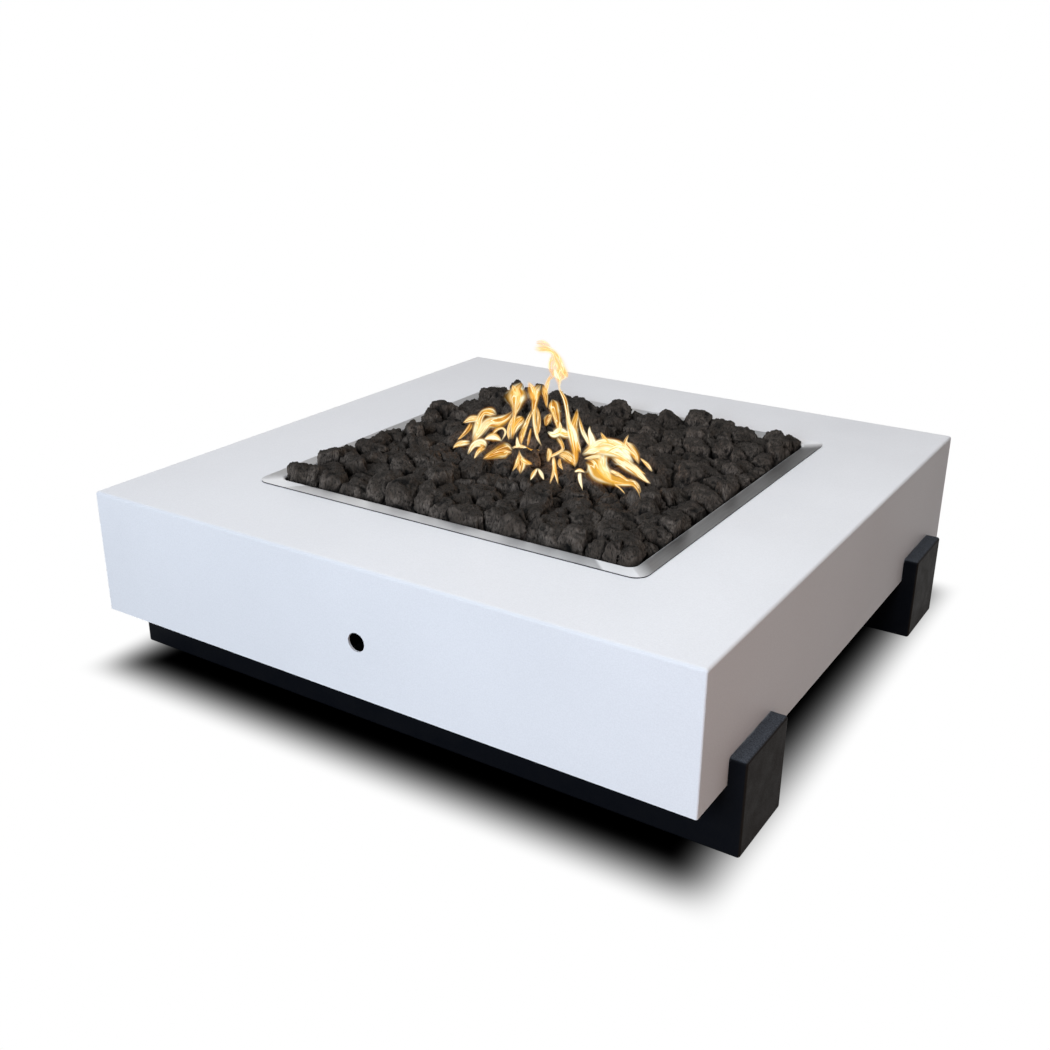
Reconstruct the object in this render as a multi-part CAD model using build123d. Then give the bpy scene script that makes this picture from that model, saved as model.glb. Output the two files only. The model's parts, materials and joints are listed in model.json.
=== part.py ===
"""Square gas fire pit table: a white folded-steel body carried in two black cradles, with a stainless
drop-in tray that holds a ring burner under a bed of lava stones, and a quarter-turn key valve behind a
round hole in the front. Millimetres, +Z up, the front faces -Y. The origin is on the floor, under the
middle of the body. Writes one STEP per node to parts/."""

from build123d import *
import math
import os
import random

# ---- Body ----
side = 914.4  # outside width and depth of the square body
body_height = 177.8
sheet = 3.0  # steel of the body
bend_radius = 4.0  # outside radius of the top's folded edges
corner_radius = 2.5  # of the ground welds along the body's vertical corners
top_lip = 18.0  # how far the top folds down, to the welds on the four sides
angle_size = 30.0  # legs of the angle bars inside the body
angle_wall = 3.0

# ---- Cradles ----
beam_height = 90.0  # floor to the underside of the body
cradle_width = 120.0  # front to back
cradle_setback = 76.2  # from the body's front or rear face
cradle_wall = 3.0
cradle_radius = 4.0
cradle_clearance = 0.5  # between the body's side and an upright
upright_thickness = 21.0
upright_rise = 36.0  # how far an upright reaches above the body's underside

# ---- Cradle bolts ----
bolt_diameter = 8.0
bolt_length = 22.0
bolt_head_across_flats = 13.0
bolt_head_height = 5.3
bolt_pair_spacing = 60.0
bolt_hole_clearance = 0.5  # radial, in the sheets and the washer
thread_clearance = 0.05  # radial, where a thread is drawn as a plain cylinder
washer_diameter = 16.0
washer_thickness = 1.6
weld_nut_height = 6.5

# ---- Drop-in tray ----
tray_flange = 609.6  # outside of the flange
tray_inside = 558.8  # inside of the recess
tray_depth = 50.8  # flange top to the tray floor
tray_sheet = 1.5
tray_flange_corner = 19.0
tray_inside_corner = 12.0
tray_bend = 3.0  # inside radius of the tray's folds
tray_clearance = 4.0  # tray wall to the edge of the body's cut-out
weep_hole_diameter = 8.0
weep_hole_inset = 45.0  # from the tray wall

# ---- Burner ----
burner_lift = 6.0  # tray floor to the underside of the rings
ring_tube = 19.0
arm_tube = 16.0
burner_wall = 1.5
outer_ring_radius = 150.0
inner_ring_radius = 80.0
hub_radius = 17.0
hub_length = 21.0
port_diameter = 3.0
outer_port_count = 36
inner_port_count = 20
ports_per_arm = 2
arm_count = 4
standoff_radius = 5.0

# ---- Bulkhead under the burner ----
nipple_diameter = 21.3
nipple_bore = 15.8
nipple_depth = 34.0  # below the tray floor's underside
nipple_thread = 12.0  # length inside the hub, and inside the elbow
bulkhead_clearance = 0.3  # nipple in the tray's hole
locknut_across_flats = 32.0
lower_locknut_height = 6.0
fibre_washer_thickness = 1.6
fibre_washer_diameter = 34.0

# ---- Key valve ----
key_hole_diameter = 25.4
key_hole_height = 77.0  # above the body's underside
neck_setback = 36.0  # front panel's inner face to the end of the neck
neck_radius = 11.0
neck_length = 30.0
mouth_radius = 8.0  # the round pocket that takes the key's tube
mouth_depth = 14.0
collar_radius = 14.0
collar_length = 3.0
barrel_radius = 18.0
barrel_length = 44.0
cavity_radius = 12.5  # bore of the barrel
ball_radius = 10.0
ball_bore_radius = 5.0
ball_clearance = 0.05
seat_inner = 5.5  # from the ball's centre to a seat's inner face
seat_outer = 11.0
cap_across_flats = 32.0
cap_length = 12.0
stem_radius = 5.0
stem_clearance = 0.05  # radial, running in the neck
stem_square = 7.9
stem_square_setback = 2.0  # behind the neck's end
tang_thickness = 3.0  # blade of the stem in the ball's slot
tang_width = 8.0
tang_depth = 3.0
seal_width = 2.2
seal_depth = 1.2
seal_setbacks = (3.0, 7.5)  # behind the floor of the neck's mouth

# ---- Valve bracket ----
bracket_sheet = 2.5
bracket_width = 60.0
bracket_height = 52.0
bracket_foot = 22.0
bracket_plate_setback = 8.0  # behind the neck's end
neck_hole_clearance = 0.3
neck_nut_across_flats = 27.0
neck_nut_height = 5.0
stud_diameter = 5.0
stud_length = 12.0
stud_pair_spacing = 32.0
stud_hole_clearance = 0.3
stud_nut_across_flats = 8.0
stud_nut_height = 4.0

# ---- Gas fittings and hose ----
port_thread_radius = 8.0  # male threads that screw into the valve and the elbows
port_thread_length = 9.0
fitting_bore_radius = 5.0
inlet_elbow_radius = 11.0
inlet_elbow_leg = 24.0  # elbow's centre to its mouth
inlet_elbow_offset = 15.0  # cap's end to the elbow's centre
tray_elbow_radius = 14.0
tray_elbow_leg = 28.0
elbow_band = 2.0  # how far the band round a mouth stands out
elbow_band_length = 10.0
flare_across_flats = 22.0
flare_hex_length = 9.0
flare_diameter = 15.9
flare_length = 15.0
hose_diameter = 14.0
hose_nut_across_flats = 24.0
hose_nut_length = 26.0
hose_swing = 210.0  # how far the hose loops to the right of the valve
hose_bend_radius = 80.0

# ---- Lava stones ----
stone_gap = 0.6  # between neighbouring stones, and to the tray and the burner
stone_crown = 17.0  # mean height of the stones above the flange
stone_crown_swing = 12.0  # how much that height varies
upper_stone_radii = (21.5, 19.0, 17.0, 15.0, 13.0, 11.5)
lower_stone_radii = (32.0, 27.0, 24.0)
upper_stone_spread = 0.8  # closest middles of two stones, as a share of their radii added up
lower_stone_spread = 0.85
wall_stone_share = 0.6  # closest a stone's middle comes to the tray's wall, of its radius
burner_stone_share = 0.4  # closest a lower stone's middle comes to a burner tube, of its radius
upper_stone_fullness = 1.08  # how far an upper stone fills its place before neighbours cut it
lower_stone_squash = 0.7  # height of a lower stone to its width
stone_facets = 16  # planes that round off each stone
facet_turn = 0.4  # each plane is shaken by so much round the stone, in radians
facet_tip = 0.15  # and by so much up or down
facet_reaches = (0.92, 1.12)  # distance of a plane from the middle, of the stone's radius
ring_sides = 24  # sides of the outline that stones inside a burner ring keep within
stone_tries = 900  # throws for each size of stone
shortest_stone_edge = 1.0
stone_seed = 36

# ---- Worked-out levels and places ----
half_side = side / 2
z_body = beam_height
z_top = z_body + body_height
z_flange = z_top + tray_sheet
z_tray_floor = z_flange - tray_depth
z_tray_under = z_tray_floor - tray_sheet
z_burner = z_tray_floor + burner_lift + ring_tube / 2
z_burner_top = z_burner + ring_tube / 2
z_hub = z_burner_top - hub_length
z_stone_split = z_burner_top + stone_gap  # the lower stones end here, the upper ones begin
tray_half = tray_inside / 2
cutout_half = tray_half + tray_sheet + tray_clearance
beam_half = half_side + cradle_clearance
cradle_y = half_side - cradle_setback - cradle_width / 2
bolt_x = half_side - sheet - angle_size / 2
bolt_hole_radius = bolt_diameter / 2 + bolt_hole_clearance
bolt_rows = [end * cradle_y + row * bolt_pair_spacing / 2 for end in (-1, 1) for row in (-1, 1)]
bolt_places = [(hand * bolt_x, y) for hand in (-1, 1) for y in bolt_rows]
z_key = z_body + key_hole_height
y_panel = -half_side + sheet  # inner face of the front panel
y_neck = y_panel + neck_setback
y_plate = y_neck + bracket_plate_setback
y_valve = y_neck + neck_length + barrel_radius
barrel_half = barrel_length / 2
cap_end = barrel_half + cap_length
x_inlet = -cap_end - inlet_elbow_offset
z_tray_elbow = z_tray_under - nipple_depth + nipple_thread - tray_elbow_leg
inlet_face = (x_inlet, y_valve + inlet_elbow_leg, z_key)  # where the flare fittings seat
outlet_face = (cap_end, y_valve, z_key)
tray_face = (tray_elbow_leg, 0, z_tray_elbow)
stud_x = bracket_width / 2 + bracket_foot / 2
stud_places = [(x, z_key + row * stud_pair_spacing / 2) for x in (-stud_x, stud_x) for row in (-1, 1)]


# ---- Shared shapes ----
def rod(start, axis, length, radius):
    """A cylinder that starts at a point and runs along a direction."""
    return Plane(origin=start, z_dir=axis) * extrude(Circle(radius), length)


def hex_rod(start, axis, length, across_flats):
    """A hexagonal prism that starts at a point and runs along a direction."""
    outline = RegularPolygon(across_flats / math.sqrt(3), 6)
    return Plane(origin=start, z_dir=axis) * extrude(outline, length)


def block(x_range, y_range, z_range):
    """A box between two corners."""
    ranges = [sorted(limits) for limits in (x_range, y_range, z_range)]
    size = [high - low for low, high in ranges]
    middle = [(high + low) / 2 for low, high in ranges]
    return Pos(*middle) * Box(*size)


def group(shapes):
    """One node with several separate solids."""
    return Compound(children=list(shapes))


# ---- Body ----
def top_panel():
    """Top sheet with its edges folded down and its corners welded, and the square cut-out."""
    outer = block((-half_side, half_side), (-half_side, half_side), (z_top - top_lip, z_top))
    outer = fillet(outer.edges().filter_by(Axis.Z), corner_radius)
    outer = fillet(outer.faces().sort_by(Axis.Z)[-1].edges(), bend_radius)
    inner_half = half_side - sheet
    inner = block((-inner_half, inner_half), (-inner_half, inner_half), (z_top - side, z_top - sheet))
    inner = fillet(inner.faces().sort_by(Axis.Z)[-1].edges(), bend_radius - sheet)
    corner = tray_inside_corner + tray_sheet + tray_clearance
    opening = RectangleRounded(2 * cutout_half, 2 * cutout_half, corner)
    cutout = Pos(0, 0, z_top - 2 * sheet) * extrude(opening, 3 * sheet)
    return outer - inner - cutout


def side_panel(hand):
    """Left (-1) or right (+1) side, as deep as the body."""
    x_range = (hand * half_side, hand * (half_side - sheet))
    panel = block(x_range, (-half_side, half_side), (z_body, z_top - top_lip))
    middle = half_side - sheet / 2
    corners = [edge for edge in panel.edges().filter_by(Axis.Z) if hand * edge.center().X > middle]
    return fillet(corners, corner_radius)


def end_panel(end):
    """Front (-1) or rear (+1) panel, between the sides."""
    reach = half_side - sheet
    y_range = (end * half_side, end * reach)
    return block((-reach, reach), y_range, (z_body, z_top - top_lip))


def front_panel():
    key_hole = rod((0, -side, z_key), (0, 1, 0), side, key_hole_diameter / 2)
    return end_panel(-1) - key_hole


def angle_bar(along_x, flat, web, z_range, z_flat, reach):
    """An angle bar along X or Y: a flat leg, and a web standing beside it."""
    span = (-reach, reach)
    if along_x:
        return block(span, flat, z_flat) + block(span, web, z_range)
    return block(flat, span, z_flat) + block(web, span, z_range)


def base_frame():
    """Four angle bars inside the body's bottom edge, flush with its underside."""
    outer = half_side - sheet
    flat_reach = outer - angle_size
    web_reach = outer - angle_wall
    z_range = (z_body, z_body + angle_size)
    z_flat = (z_body, z_body + angle_wall)
    bars = []
    for end in (-1, 1):
        flat = (end * flat_reach, end * outer)
        web = (end * web_reach, end * outer)
        bars.append(angle_bar(True, flat, web, z_range, z_flat, outer))
        bars.append(angle_bar(False, flat, web, z_range, z_flat, outer) - corner_notches())
    return group(bar - bolt_holes(z_body, sheet) for bar in bars)


def corner_notches():
    """Where the base frame's side bars stop against its front and rear bars."""
    outer = half_side - sheet
    z_range = (z_body, z_body + angle_size)
    z_flat = (z_body, z_body + angle_wall)
    webs = [block((-side, side), (end * outer, end * (outer - angle_wall)), z_range) for end in (-1, 1)]
    flats = [block((-side, side), (end * outer, end * (outer - angle_size)), z_flat) for end in (-1, 1)]
    return webs + flats


def cutout_frame():
    """Four angle bars welded under the top, round the cut-out."""
    reach = cutout_half + angle_size
    z_range = (z_top - sheet - angle_size, z_top - sheet)
    z_flat = (z_top - sheet - angle_wall, z_top - sheet)
    bars = []
    for end in (-1, 1):
        flat = (end * cutout_half, end * reach)
        web = (end * cutout_half, end * (cutout_half + angle_wall))
        bars.append(angle_bar(True, flat, web, z_range, z_flat, reach))
        bars.append(angle_bar(False, flat, web, z_range, z_flat, cutout_half))
    return group(bars)


def bolt_holes(z_low, thickness):
    """Clearance holes for the cradle bolts through a sheet."""
    up, length = (0, 0, 1), 3 * thickness
    return [rod((x, y, z_low - thickness), up, length, bolt_hole_radius) for x, y in bolt_places]


# ---- Cradles ----
def cradle_span(end):
    """Front and rear faces of the front (-1) or rear (+1) cradle."""
    return end * cradle_y - cradle_width / 2, end * cradle_y + cradle_width / 2


def cradle_beam(end):
    """Square tube across the underside of the body, closed by the uprights."""
    low, high = cradle_span(end)
    beam = block((-beam_half, beam_half), (low, high), (0, beam_height))
    beam = fillet(beam.edges().filter_by(Axis.X), cradle_radius)
    inside = (low + cradle_wall, high - cradle_wall)
    hollow = block((-side, side), inside, (cradle_wall, beam_height - cradle_wall))
    hollow = fillet(hollow.edges().filter_by(Axis.X), cradle_radius - cradle_wall)
    return beam - hollow - bolt_holes(beam_height - cradle_wall, cradle_wall)


def cradle_uprights(end):
    """The two hollow end plates that hold the body between them."""
    low, high = cradle_span(end)
    height = beam_height + upright_rise
    pair = []
    for hand in (-1, 1):
        near, far = hand * beam_half, hand * (beam_half + upright_thickness)
        plate = block((near, far), (low, high), (0, height))
        outside = [edge for edge in plate.edges() if abs(edge.center().X) > beam_half + cradle_wall / 2]
        plate = fillet(outside, cradle_radius)
        inside_x = (near + hand * cradle_wall, far - hand * cradle_wall)
        inside_y = (low + cradle_wall, high - cradle_wall)
        pair.append(plate - block(inside_x, inside_y, (cradle_wall, height - cradle_wall)))
    return group(pair)


def cradle_bolts():
    z_head = z_body + angle_wall + washer_thickness
    made = []
    for x, y in bolt_places:
        head = hex_rod((x, y, z_head), (0, 0, 1), bolt_head_height, bolt_head_across_flats)
        made.append(head + rod((x, y, z_head), (0, 0, -1), bolt_length, bolt_diameter / 2))
    return group(made)


def cradle_washers():
    made = []
    for x, y in bolt_places:
        start = (x, y, z_body + angle_wall)
        washer = rod(start, (0, 0, 1), washer_thickness, washer_diameter / 2)
        made.append(washer - rod(start, (0, 0, 1), washer_thickness, bolt_hole_radius))
    return group(made)


def cradle_weld_nuts():
    made = []
    for x, y in bolt_places:
        start = (x, y, beam_height - cradle_wall)
        nut = hex_rod(start, (0, 0, -1), weld_nut_height, bolt_head_across_flats)
        made.append(nut - rod(start, (0, 0, -1), weld_nut_height, bolt_diameter / 2 + thread_clearance))
    return group(made)


# ---- Tray ----
def burner_tray():
    """Stainless drop-in tray: a flat flange round a square recess with weep holes."""
    wall = tray_half + tray_sheet
    flange = RectangleRounded(tray_flange, tray_flange, tray_flange_corner)
    outside = RectangleRounded(2 * wall, 2 * wall, tray_inside_corner + tray_sheet)
    inside = RectangleRounded(tray_inside, tray_inside, tray_inside_corner)
    pocket = Pos(0, 0, z_tray_under) * extrude(outside, z_top - z_tray_under)
    hollow = Pos(0, 0, z_tray_floor) * extrude(inside, tray_depth)
    pocket = fillet(pocket.faces().sort_by(Axis.Z)[0].edges(), tray_bend + tray_sheet)
    hollow = fillet(hollow.faces().sort_by(Axis.Z)[0].edges(), tray_bend)
    tray = Pos(0, 0, z_top) * extrude(flange, tray_sheet) + pocket
    tray = fillet(rim_edges(tray, z_top, wall), tray_bend)
    tray -= hollow
    tray = fillet(rim_edges(tray, z_flange, wall), tray_bend + tray_sheet)
    return tray - weep_holes() - tray_hole(nipple_diameter / 2 + bulkhead_clearance, 0, 0)


def rim_edges(tray, level, reach):
    """Edges at one level that lie within a square of the given half width."""
    found = []
    for edge in tray.edges():
        box = edge.bounding_box()
        inside = max(abs(box.min.X), box.max.X, abs(box.min.Y), box.max.Y) < reach + tray_sheet / 2
        if inside and abs(box.min.Z - level) < tray_sheet / 10 and abs(box.max.Z - level) < tray_sheet / 10:
            found.append(edge)
    return found


def tray_hole(radius, x, y):
    return rod((x, y, z_tray_under - tray_sheet), (0, 0, 1), 3 * tray_sheet, radius)


def weep_holes():
    reach = tray_half - weep_hole_inset
    places = [(x, y) for x in (-reach, 0, reach) for y in (-reach, 0, reach) if x or y]
    return [tray_hole(weep_hole_diameter / 2, x, y) for x, y in places]


# ---- Burner ----
def ring_envelope(radius):
    """The solid outside shape of a burner ring."""
    return revolve(Plane.XZ * Pos(radius, z_burner) * Circle(ring_tube / 2), Axis.Z)


def burner_ring(radius, port_count):
    """Two bent half rings welded end to end, with a row of gas ports along the crown."""
    section = Plane.XZ * Pos(radius, z_burner) * (Circle(ring_tube / 2) - Circle(ring_tube / 2 - burner_wall))
    half = revolve(section, Axis.Z, revolution_arc=180)
    ports = []
    for i in range(port_count):
        angle = 2 * math.pi * (i + 0.5) / port_count
        start = (radius * math.cos(angle), radius * math.sin(angle), z_burner)
        ports.append(rod(start, (0, 0, 1), ring_tube, port_diameter / 2))
    return group([half - ports, Rot(0, 0, 180) * half - ports])


def burner_arms():
    """The hub and the arms that feed both rings, cut to fit round them."""
    body = rod((0, 0, z_hub), (0, 0, 1), hub_length, hub_radius)
    socket = rod((0, 0, z_hub), (0, 0, 1), nipple_thread, nipple_diameter / 2 + thread_clearance)
    hollow = socket + rod((0, 0, z_hub), (0, 0, 1), hub_length - burner_wall, nipple_bore / 2)
    start = (0, 0, z_burner)
    for i in range(arm_count):
        angle = 2 * math.pi * i / arm_count
        out = Vector(math.cos(angle), math.sin(angle), 0)
        body += rod(start, out, outer_ring_radius, arm_tube / 2)
        hollow += rod(start, out, outer_ring_radius, arm_tube / 2 - burner_wall)
        for port in range(1, ports_per_arm + 1):
            share = port / (ports_per_arm + 1)
            reach = inner_ring_radius + share * (outer_ring_radius - inner_ring_radius)
            hollow += rod(Vector(start) + out * reach, (0, 0, 1), arm_tube, port_diameter / 2)
    return body - hollow - ring_envelope(inner_ring_radius) - ring_envelope(outer_ring_radius)


def burner_standoffs():
    """Short posts under the outer ring, between the arms."""
    ring = ring_envelope(outer_ring_radius)
    made = []
    for i in range(arm_count):
        angle = 2 * math.pi * (i + 0.5) / arm_count
        start = (outer_ring_radius * math.cos(angle), outer_ring_radius * math.sin(angle), z_tray_floor)
        made.append(rod(start, (0, 0, 1), burner_lift + ring_tube / 4, standoff_radius) - ring)
    return group(made)


# ---- Bulkhead under the burner ----
def bulkhead_ring(z_low, height, outline):
    """A washer or nut round the nipple."""
    bore = rod((0, 0, z_low), (0, 0, 1), height, nipple_diameter / 2 + thread_clearance)
    return Pos(0, 0, z_low) * extrude(outline, height) - bore


def inlet_nipple():
    z_low = z_tray_under - nipple_depth
    length = z_hub + nipple_thread - z_low
    outside = rod((0, 0, z_low), (0, 0, 1), length, nipple_diameter / 2)
    return outside - rod((0, 0, z_low), (0, 0, 1), length, nipple_bore / 2)


def fibre_washers():
    disc = Circle(fibre_washer_diameter / 2)
    levels = (z_tray_floor, z_tray_under - fibre_washer_thickness)
    return group(bulkhead_ring(z, fibre_washer_thickness, disc) for z in levels)


def bulkhead_locknuts():
    """A thin nut under the burner's hub, and a full one under the tray."""
    hexagon = RegularPolygon(locknut_across_flats / math.sqrt(3), 6)
    z_upper = z_tray_floor + fibre_washer_thickness
    z_lower = z_tray_under - fibre_washer_thickness - lower_locknut_height
    upper = bulkhead_ring(z_upper, z_hub - z_upper, hexagon)
    return group([upper, bulkhead_ring(z_lower, lower_locknut_height, hexagon)])


# ---- Key valve ----
def valve_body():
    """Brass barrel across the body, with a neck that faces the key hole."""
    body = rod((-barrel_half, y_valve, z_key), (1, 0, 0), barrel_length, barrel_radius)
    body += rod((0, y_neck, z_key), (0, 1, 0), y_valve - y_neck, neck_radius)
    body += rod((0, y_plate + bracket_sheet, z_key), (0, 1, 0), collar_length, collar_radius)
    cavity = rod((-barrel_half, y_valve, z_key), (1, 0, 0), barrel_length, cavity_radius)
    mouth = rod((0, y_neck, z_key), (0, 1, 0), mouth_depth, mouth_radius)
    stem_bore = rod((0, y_neck, z_key), (0, 1, 0), y_valve - y_neck, stem_radius + stem_clearance)
    return body - cavity - mouth - stem_bore


def valve_ball():
    ball = Pos(0, y_valve, z_key) * Rot(0, 90, 0) * Sphere(ball_radius)
    bore = rod((-ball_radius, y_valve, z_key), (1, 0, 0), 2 * ball_radius, ball_bore_radius)
    half_slot = tang_thickness / 2 + ball_clearance
    y_slot = y_valve - ball_radius + tang_depth + ball_clearance
    slot = block(
        (-half_slot, half_slot),
        (y_valve - 2 * ball_radius, y_slot),
        (z_key - ball_radius, z_key + ball_radius),
    )
    return ball - bore - slot


def valve_seats():
    """Two sealing rings that the ball turns between."""
    ball = Pos(0, y_valve, z_key) * Rot(0, 90, 0) * Sphere(ball_radius + ball_clearance)
    rings = []
    for hand in (-1, 1):
        start, axis = (hand * seat_inner, y_valve, z_key), (hand, 0, 0)
        ring = rod(start, axis, seat_outer - seat_inner, cavity_radius - thread_clearance)
        rings.append(ring - rod(start, axis, seat_outer, ball_bore_radius) - ball)
    return group(rings)


def valve_caps():
    """Screwed end caps that hold the seats and take the fittings."""
    caps = []
    for hand in (-1, 1):
        axis = (hand, 0, 0)
        seat_face = (hand * seat_outer, y_valve, z_key)
        barrel_face = (hand * barrel_half, y_valve, z_key)
        cap = rod(seat_face, axis, barrel_half - seat_outer, cavity_radius - thread_clearance)
        cap += hex_rod(barrel_face, axis, cap_length, cap_across_flats)
        bore = rod(seat_face, axis, cap_end - seat_outer, fitting_bore_radius)
        caps.append(cap - bore - port_socket((hand * cap_end, y_valve, z_key), (-hand, 0, 0)))
    return group(caps)


def port_socket(mouth, inward):
    """Tapped hole for a fitting's male thread."""
    return rod(mouth, inward, port_thread_length, port_thread_radius + thread_clearance)


def valve_stem():
    """Round stem with two seal grooves, a blade in the ball's slot and a square for the key."""
    y_mouth = y_neck + mouth_depth
    y_shoulder = y_valve - ball_radius - ball_clearance
    stem = rod((0, y_mouth, z_key), (0, 1, 0), y_shoulder - y_mouth, stem_radius)
    half = stem_square / 2
    y_tip = y_neck + stem_square_setback
    stem += block((-half, half), (y_tip, y_mouth), (z_key - half, z_key + half))
    y_tang = y_valve - ball_radius + tang_depth
    tang_z = (z_key - tang_width / 2, z_key + tang_width / 2)
    stem += block((-tang_thickness / 2, tang_thickness / 2), (y_shoulder, y_tang), tang_z)
    return stem - seal_rings()


def seal_rings():
    rings = []
    for setback in seal_setbacks:
        start = (0, y_neck + mouth_depth + setback, z_key)
        ring = rod(start, (0, 1, 0), seal_width, stem_radius)
        rings.append(ring - rod(start, (0, 1, 0), seal_width, stem_radius - seal_depth))
    return rings


def stem_seals():
    return group(seal_rings())


def neck_locknut():
    start = (0, y_plate - neck_nut_height, z_key)
    nut = hex_rod(start, (0, 1, 0), neck_nut_height, neck_nut_across_flats)
    return nut - rod(start, (0, 1, 0), neck_nut_height, neck_radius + thread_clearance)


# ---- Valve bracket ----
def valve_bracket():
    """Folded plate that stands off the front panel on two feet and holds the neck."""
    half = bracket_width / 2
    z_range = (z_key - bracket_height / 2, z_key + bracket_height / 2)
    y_back = y_plate + bracket_sheet
    bracket = block((-half, half), (y_plate, y_back), z_range)
    for hand in (-1, 1):
        leg_x = (hand * half, hand * (half - bracket_sheet))
        foot_x = (hand * (half - bracket_sheet), hand * (half + bracket_foot))
        bracket += block(leg_x, (y_panel, y_back), z_range)
        bracket += block(foot_x, (y_panel, y_panel + bracket_sheet), z_range)
    neck_hole = rod((0, y_plate, z_key), (0, 1, 0), bracket_sheet, neck_radius + neck_hole_clearance)
    stud_hole = stud_diameter / 2 + stud_hole_clearance
    stud_holes = [rod((x, y_panel, z), (0, 1, 0), bracket_sheet, stud_hole) for x, z in stud_places]
    return bracket - neck_hole - stud_holes


def bracket_studs():
    """Studs welded to the inside of the front panel."""
    return group(rod((x, y_panel, z), (0, 1, 0), stud_length, stud_diameter / 2) for x, z in stud_places)


def bracket_nuts():
    made = []
    for x, z in stud_places:
        start = (x, y_panel + bracket_sheet, z)
        nut = hex_rod(start, (0, 1, 0), stud_nut_height, stud_nut_across_flats)
        made.append(nut - rod(start, (0, 1, 0), stud_nut_height, stud_diameter / 2 + thread_clearance))
    return group(made)


# ---- Gas fittings and hose ----
def elbow_mouth(centre, axis, leg, radius):
    """One leg of a cast elbow, with a band round its mouth."""
    band_start = Vector(centre) + Vector(axis) * (leg - elbow_band_length)
    return rod(centre, axis, leg, radius) + rod(band_start, axis, elbow_band_length, radius + elbow_band)


def inlet_elbow():
    """Street elbow that screws into the valve's left cap and looks back for the supply."""
    centre = (x_inlet, y_valve, z_key)
    reach = inlet_elbow_offset + port_thread_length
    elbow = Pos(*centre) * Sphere(inlet_elbow_radius)
    elbow += elbow_mouth(centre, (0, 1, 0), inlet_elbow_leg, inlet_elbow_radius)
    elbow += rod(centre, (1, 0, 0), reach, port_thread_radius)
    elbow -= rod(centre, (1, 0, 0), reach, fitting_bore_radius)
    elbow -= rod(centre, (0, 1, 0), inlet_elbow_leg, fitting_bore_radius)
    return elbow - port_socket(inlet_face, (0, -1, 0))


def tray_elbow():
    """Elbow on the nipple's lower end, with its mouth to the right."""
    centre = (0, 0, z_tray_elbow)
    elbow = Pos(*centre) * Sphere(tray_elbow_radius)
    elbow += elbow_mouth(centre, (0, 0, 1), tray_elbow_leg, tray_elbow_radius)
    elbow += elbow_mouth(centre, (1, 0, 0), tray_elbow_leg, tray_elbow_radius)
    elbow -= rod(centre, (1, 0, 0), tray_elbow_leg, fitting_bore_radius)
    elbow -= rod(centre, (0, 0, 1), tray_elbow_leg, fitting_bore_radius)
    z_mouth = z_tray_elbow + tray_elbow_leg
    elbow -= rod((0, 0, z_mouth), (0, 0, -1), nipple_thread, nipple_diameter / 2 + thread_clearance)
    return elbow - port_socket(tray_face, (-1, 0, 0))


def flare_fitting(face, axis):
    """Male thread, hexagon and flare end, seated on a port's face."""
    out = Vector(axis)
    start = Vector(face) - out * port_thread_length
    fitting = rod(start, axis, port_thread_length, port_thread_radius)
    fitting += hex_rod(face, axis, flare_hex_length, flare_across_flats)
    fitting += rod(Vector(face) + out * flare_hex_length, axis, flare_length, flare_diameter / 2)
    length = port_thread_length + flare_hex_length + flare_length
    return fitting - rod(start, axis, length, fitting_bore_radius)


def hose_nut(face, axis):
    """Nut over a flare end and the first stretch of the hose."""
    start = Vector(face) + Vector(axis) * flare_hex_length
    nut = hex_rod(start, axis, hose_nut_length, hose_nut_across_flats)
    nut -= rod(start, axis, flare_length, flare_diameter / 2 + thread_clearance)
    return nut - rod(start, axis, hose_nut_length, hose_diameter / 2 + thread_clearance)


def gas_hose():
    """Flexible hose in one wide loop from the valve to the elbow under the tray."""
    flare_reach = flare_hex_length + flare_length
    start = Vector(outlet_face) + Vector(flare_reach, 0, 0)
    end = Vector(tray_face) + Vector(flare_reach, 0, 0)
    far = start.X + hose_swing
    route = [start, Vector(far, start.Y, start.Z), Vector(far, end.Y, end.Z), end]
    path = FilletPolyline(*route, radius=hose_bend_radius)
    return sweep(Plane(origin=start, z_dir=(1, 0, 0)) * Circle(hose_diameter / 2), path=path)


# ---- Lava stones ----
def cut_polyhedron(faces, normal, offset):
    """Keep the part of a convex polyhedron where normal . point <= offset."""
    kept, rim = [], []
    for corners in faces:
        heights = [point.dot(normal) - offset for point in corners]
        outline = []
        for i, point in enumerate(corners):
            before, here = heights[i - 1], heights[i]
            if before * here < 0:
                crossing = corners[i - 1] + (point - corners[i - 1]) * (before / (before - here))
                outline.append(crossing)
                rim.append(crossing)
            if here <= 0:
                outline.append(point)
        if len(outline) > 2:
            kept.append(outline)
    if rim:
        kept.append(sorted_rim(rim, normal))
    return kept


def sorted_rim(rim, normal):
    """The cut face: the crossing points, each met twice, in order round their middle."""
    middle = sum(rim, Vector()) / len(rim)
    across = (rim[0] - middle).normalized()
    along = normal.cross(across)

    def bearing(point):
        return math.atan2((point - middle).dot(along), (point - middle).dot(across))

    return sorted(rim, key=bearing)[::2]


def shortest_edge(faces):
    return min((corners[i - 1] - corners[i]).length for corners in faces for i in range(len(corners)))


def start_block(z_low, z_high):
    """The faces of a box as wide as the tray's recess, between two levels."""
    reach = tray_half - stone_gap
    corner = [Vector(x, y, z) for z in (z_low, z_high) for y in (-reach, reach) for x in (-reach, reach)]
    loops = ((0, 1, 3, 2), (4, 5, 7, 6), (0, 1, 5, 4), (2, 3, 7, 6), (0, 2, 6, 4), (1, 3, 7, 5))
    return [[corner[i] for i in loop] for loop in loops]


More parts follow.
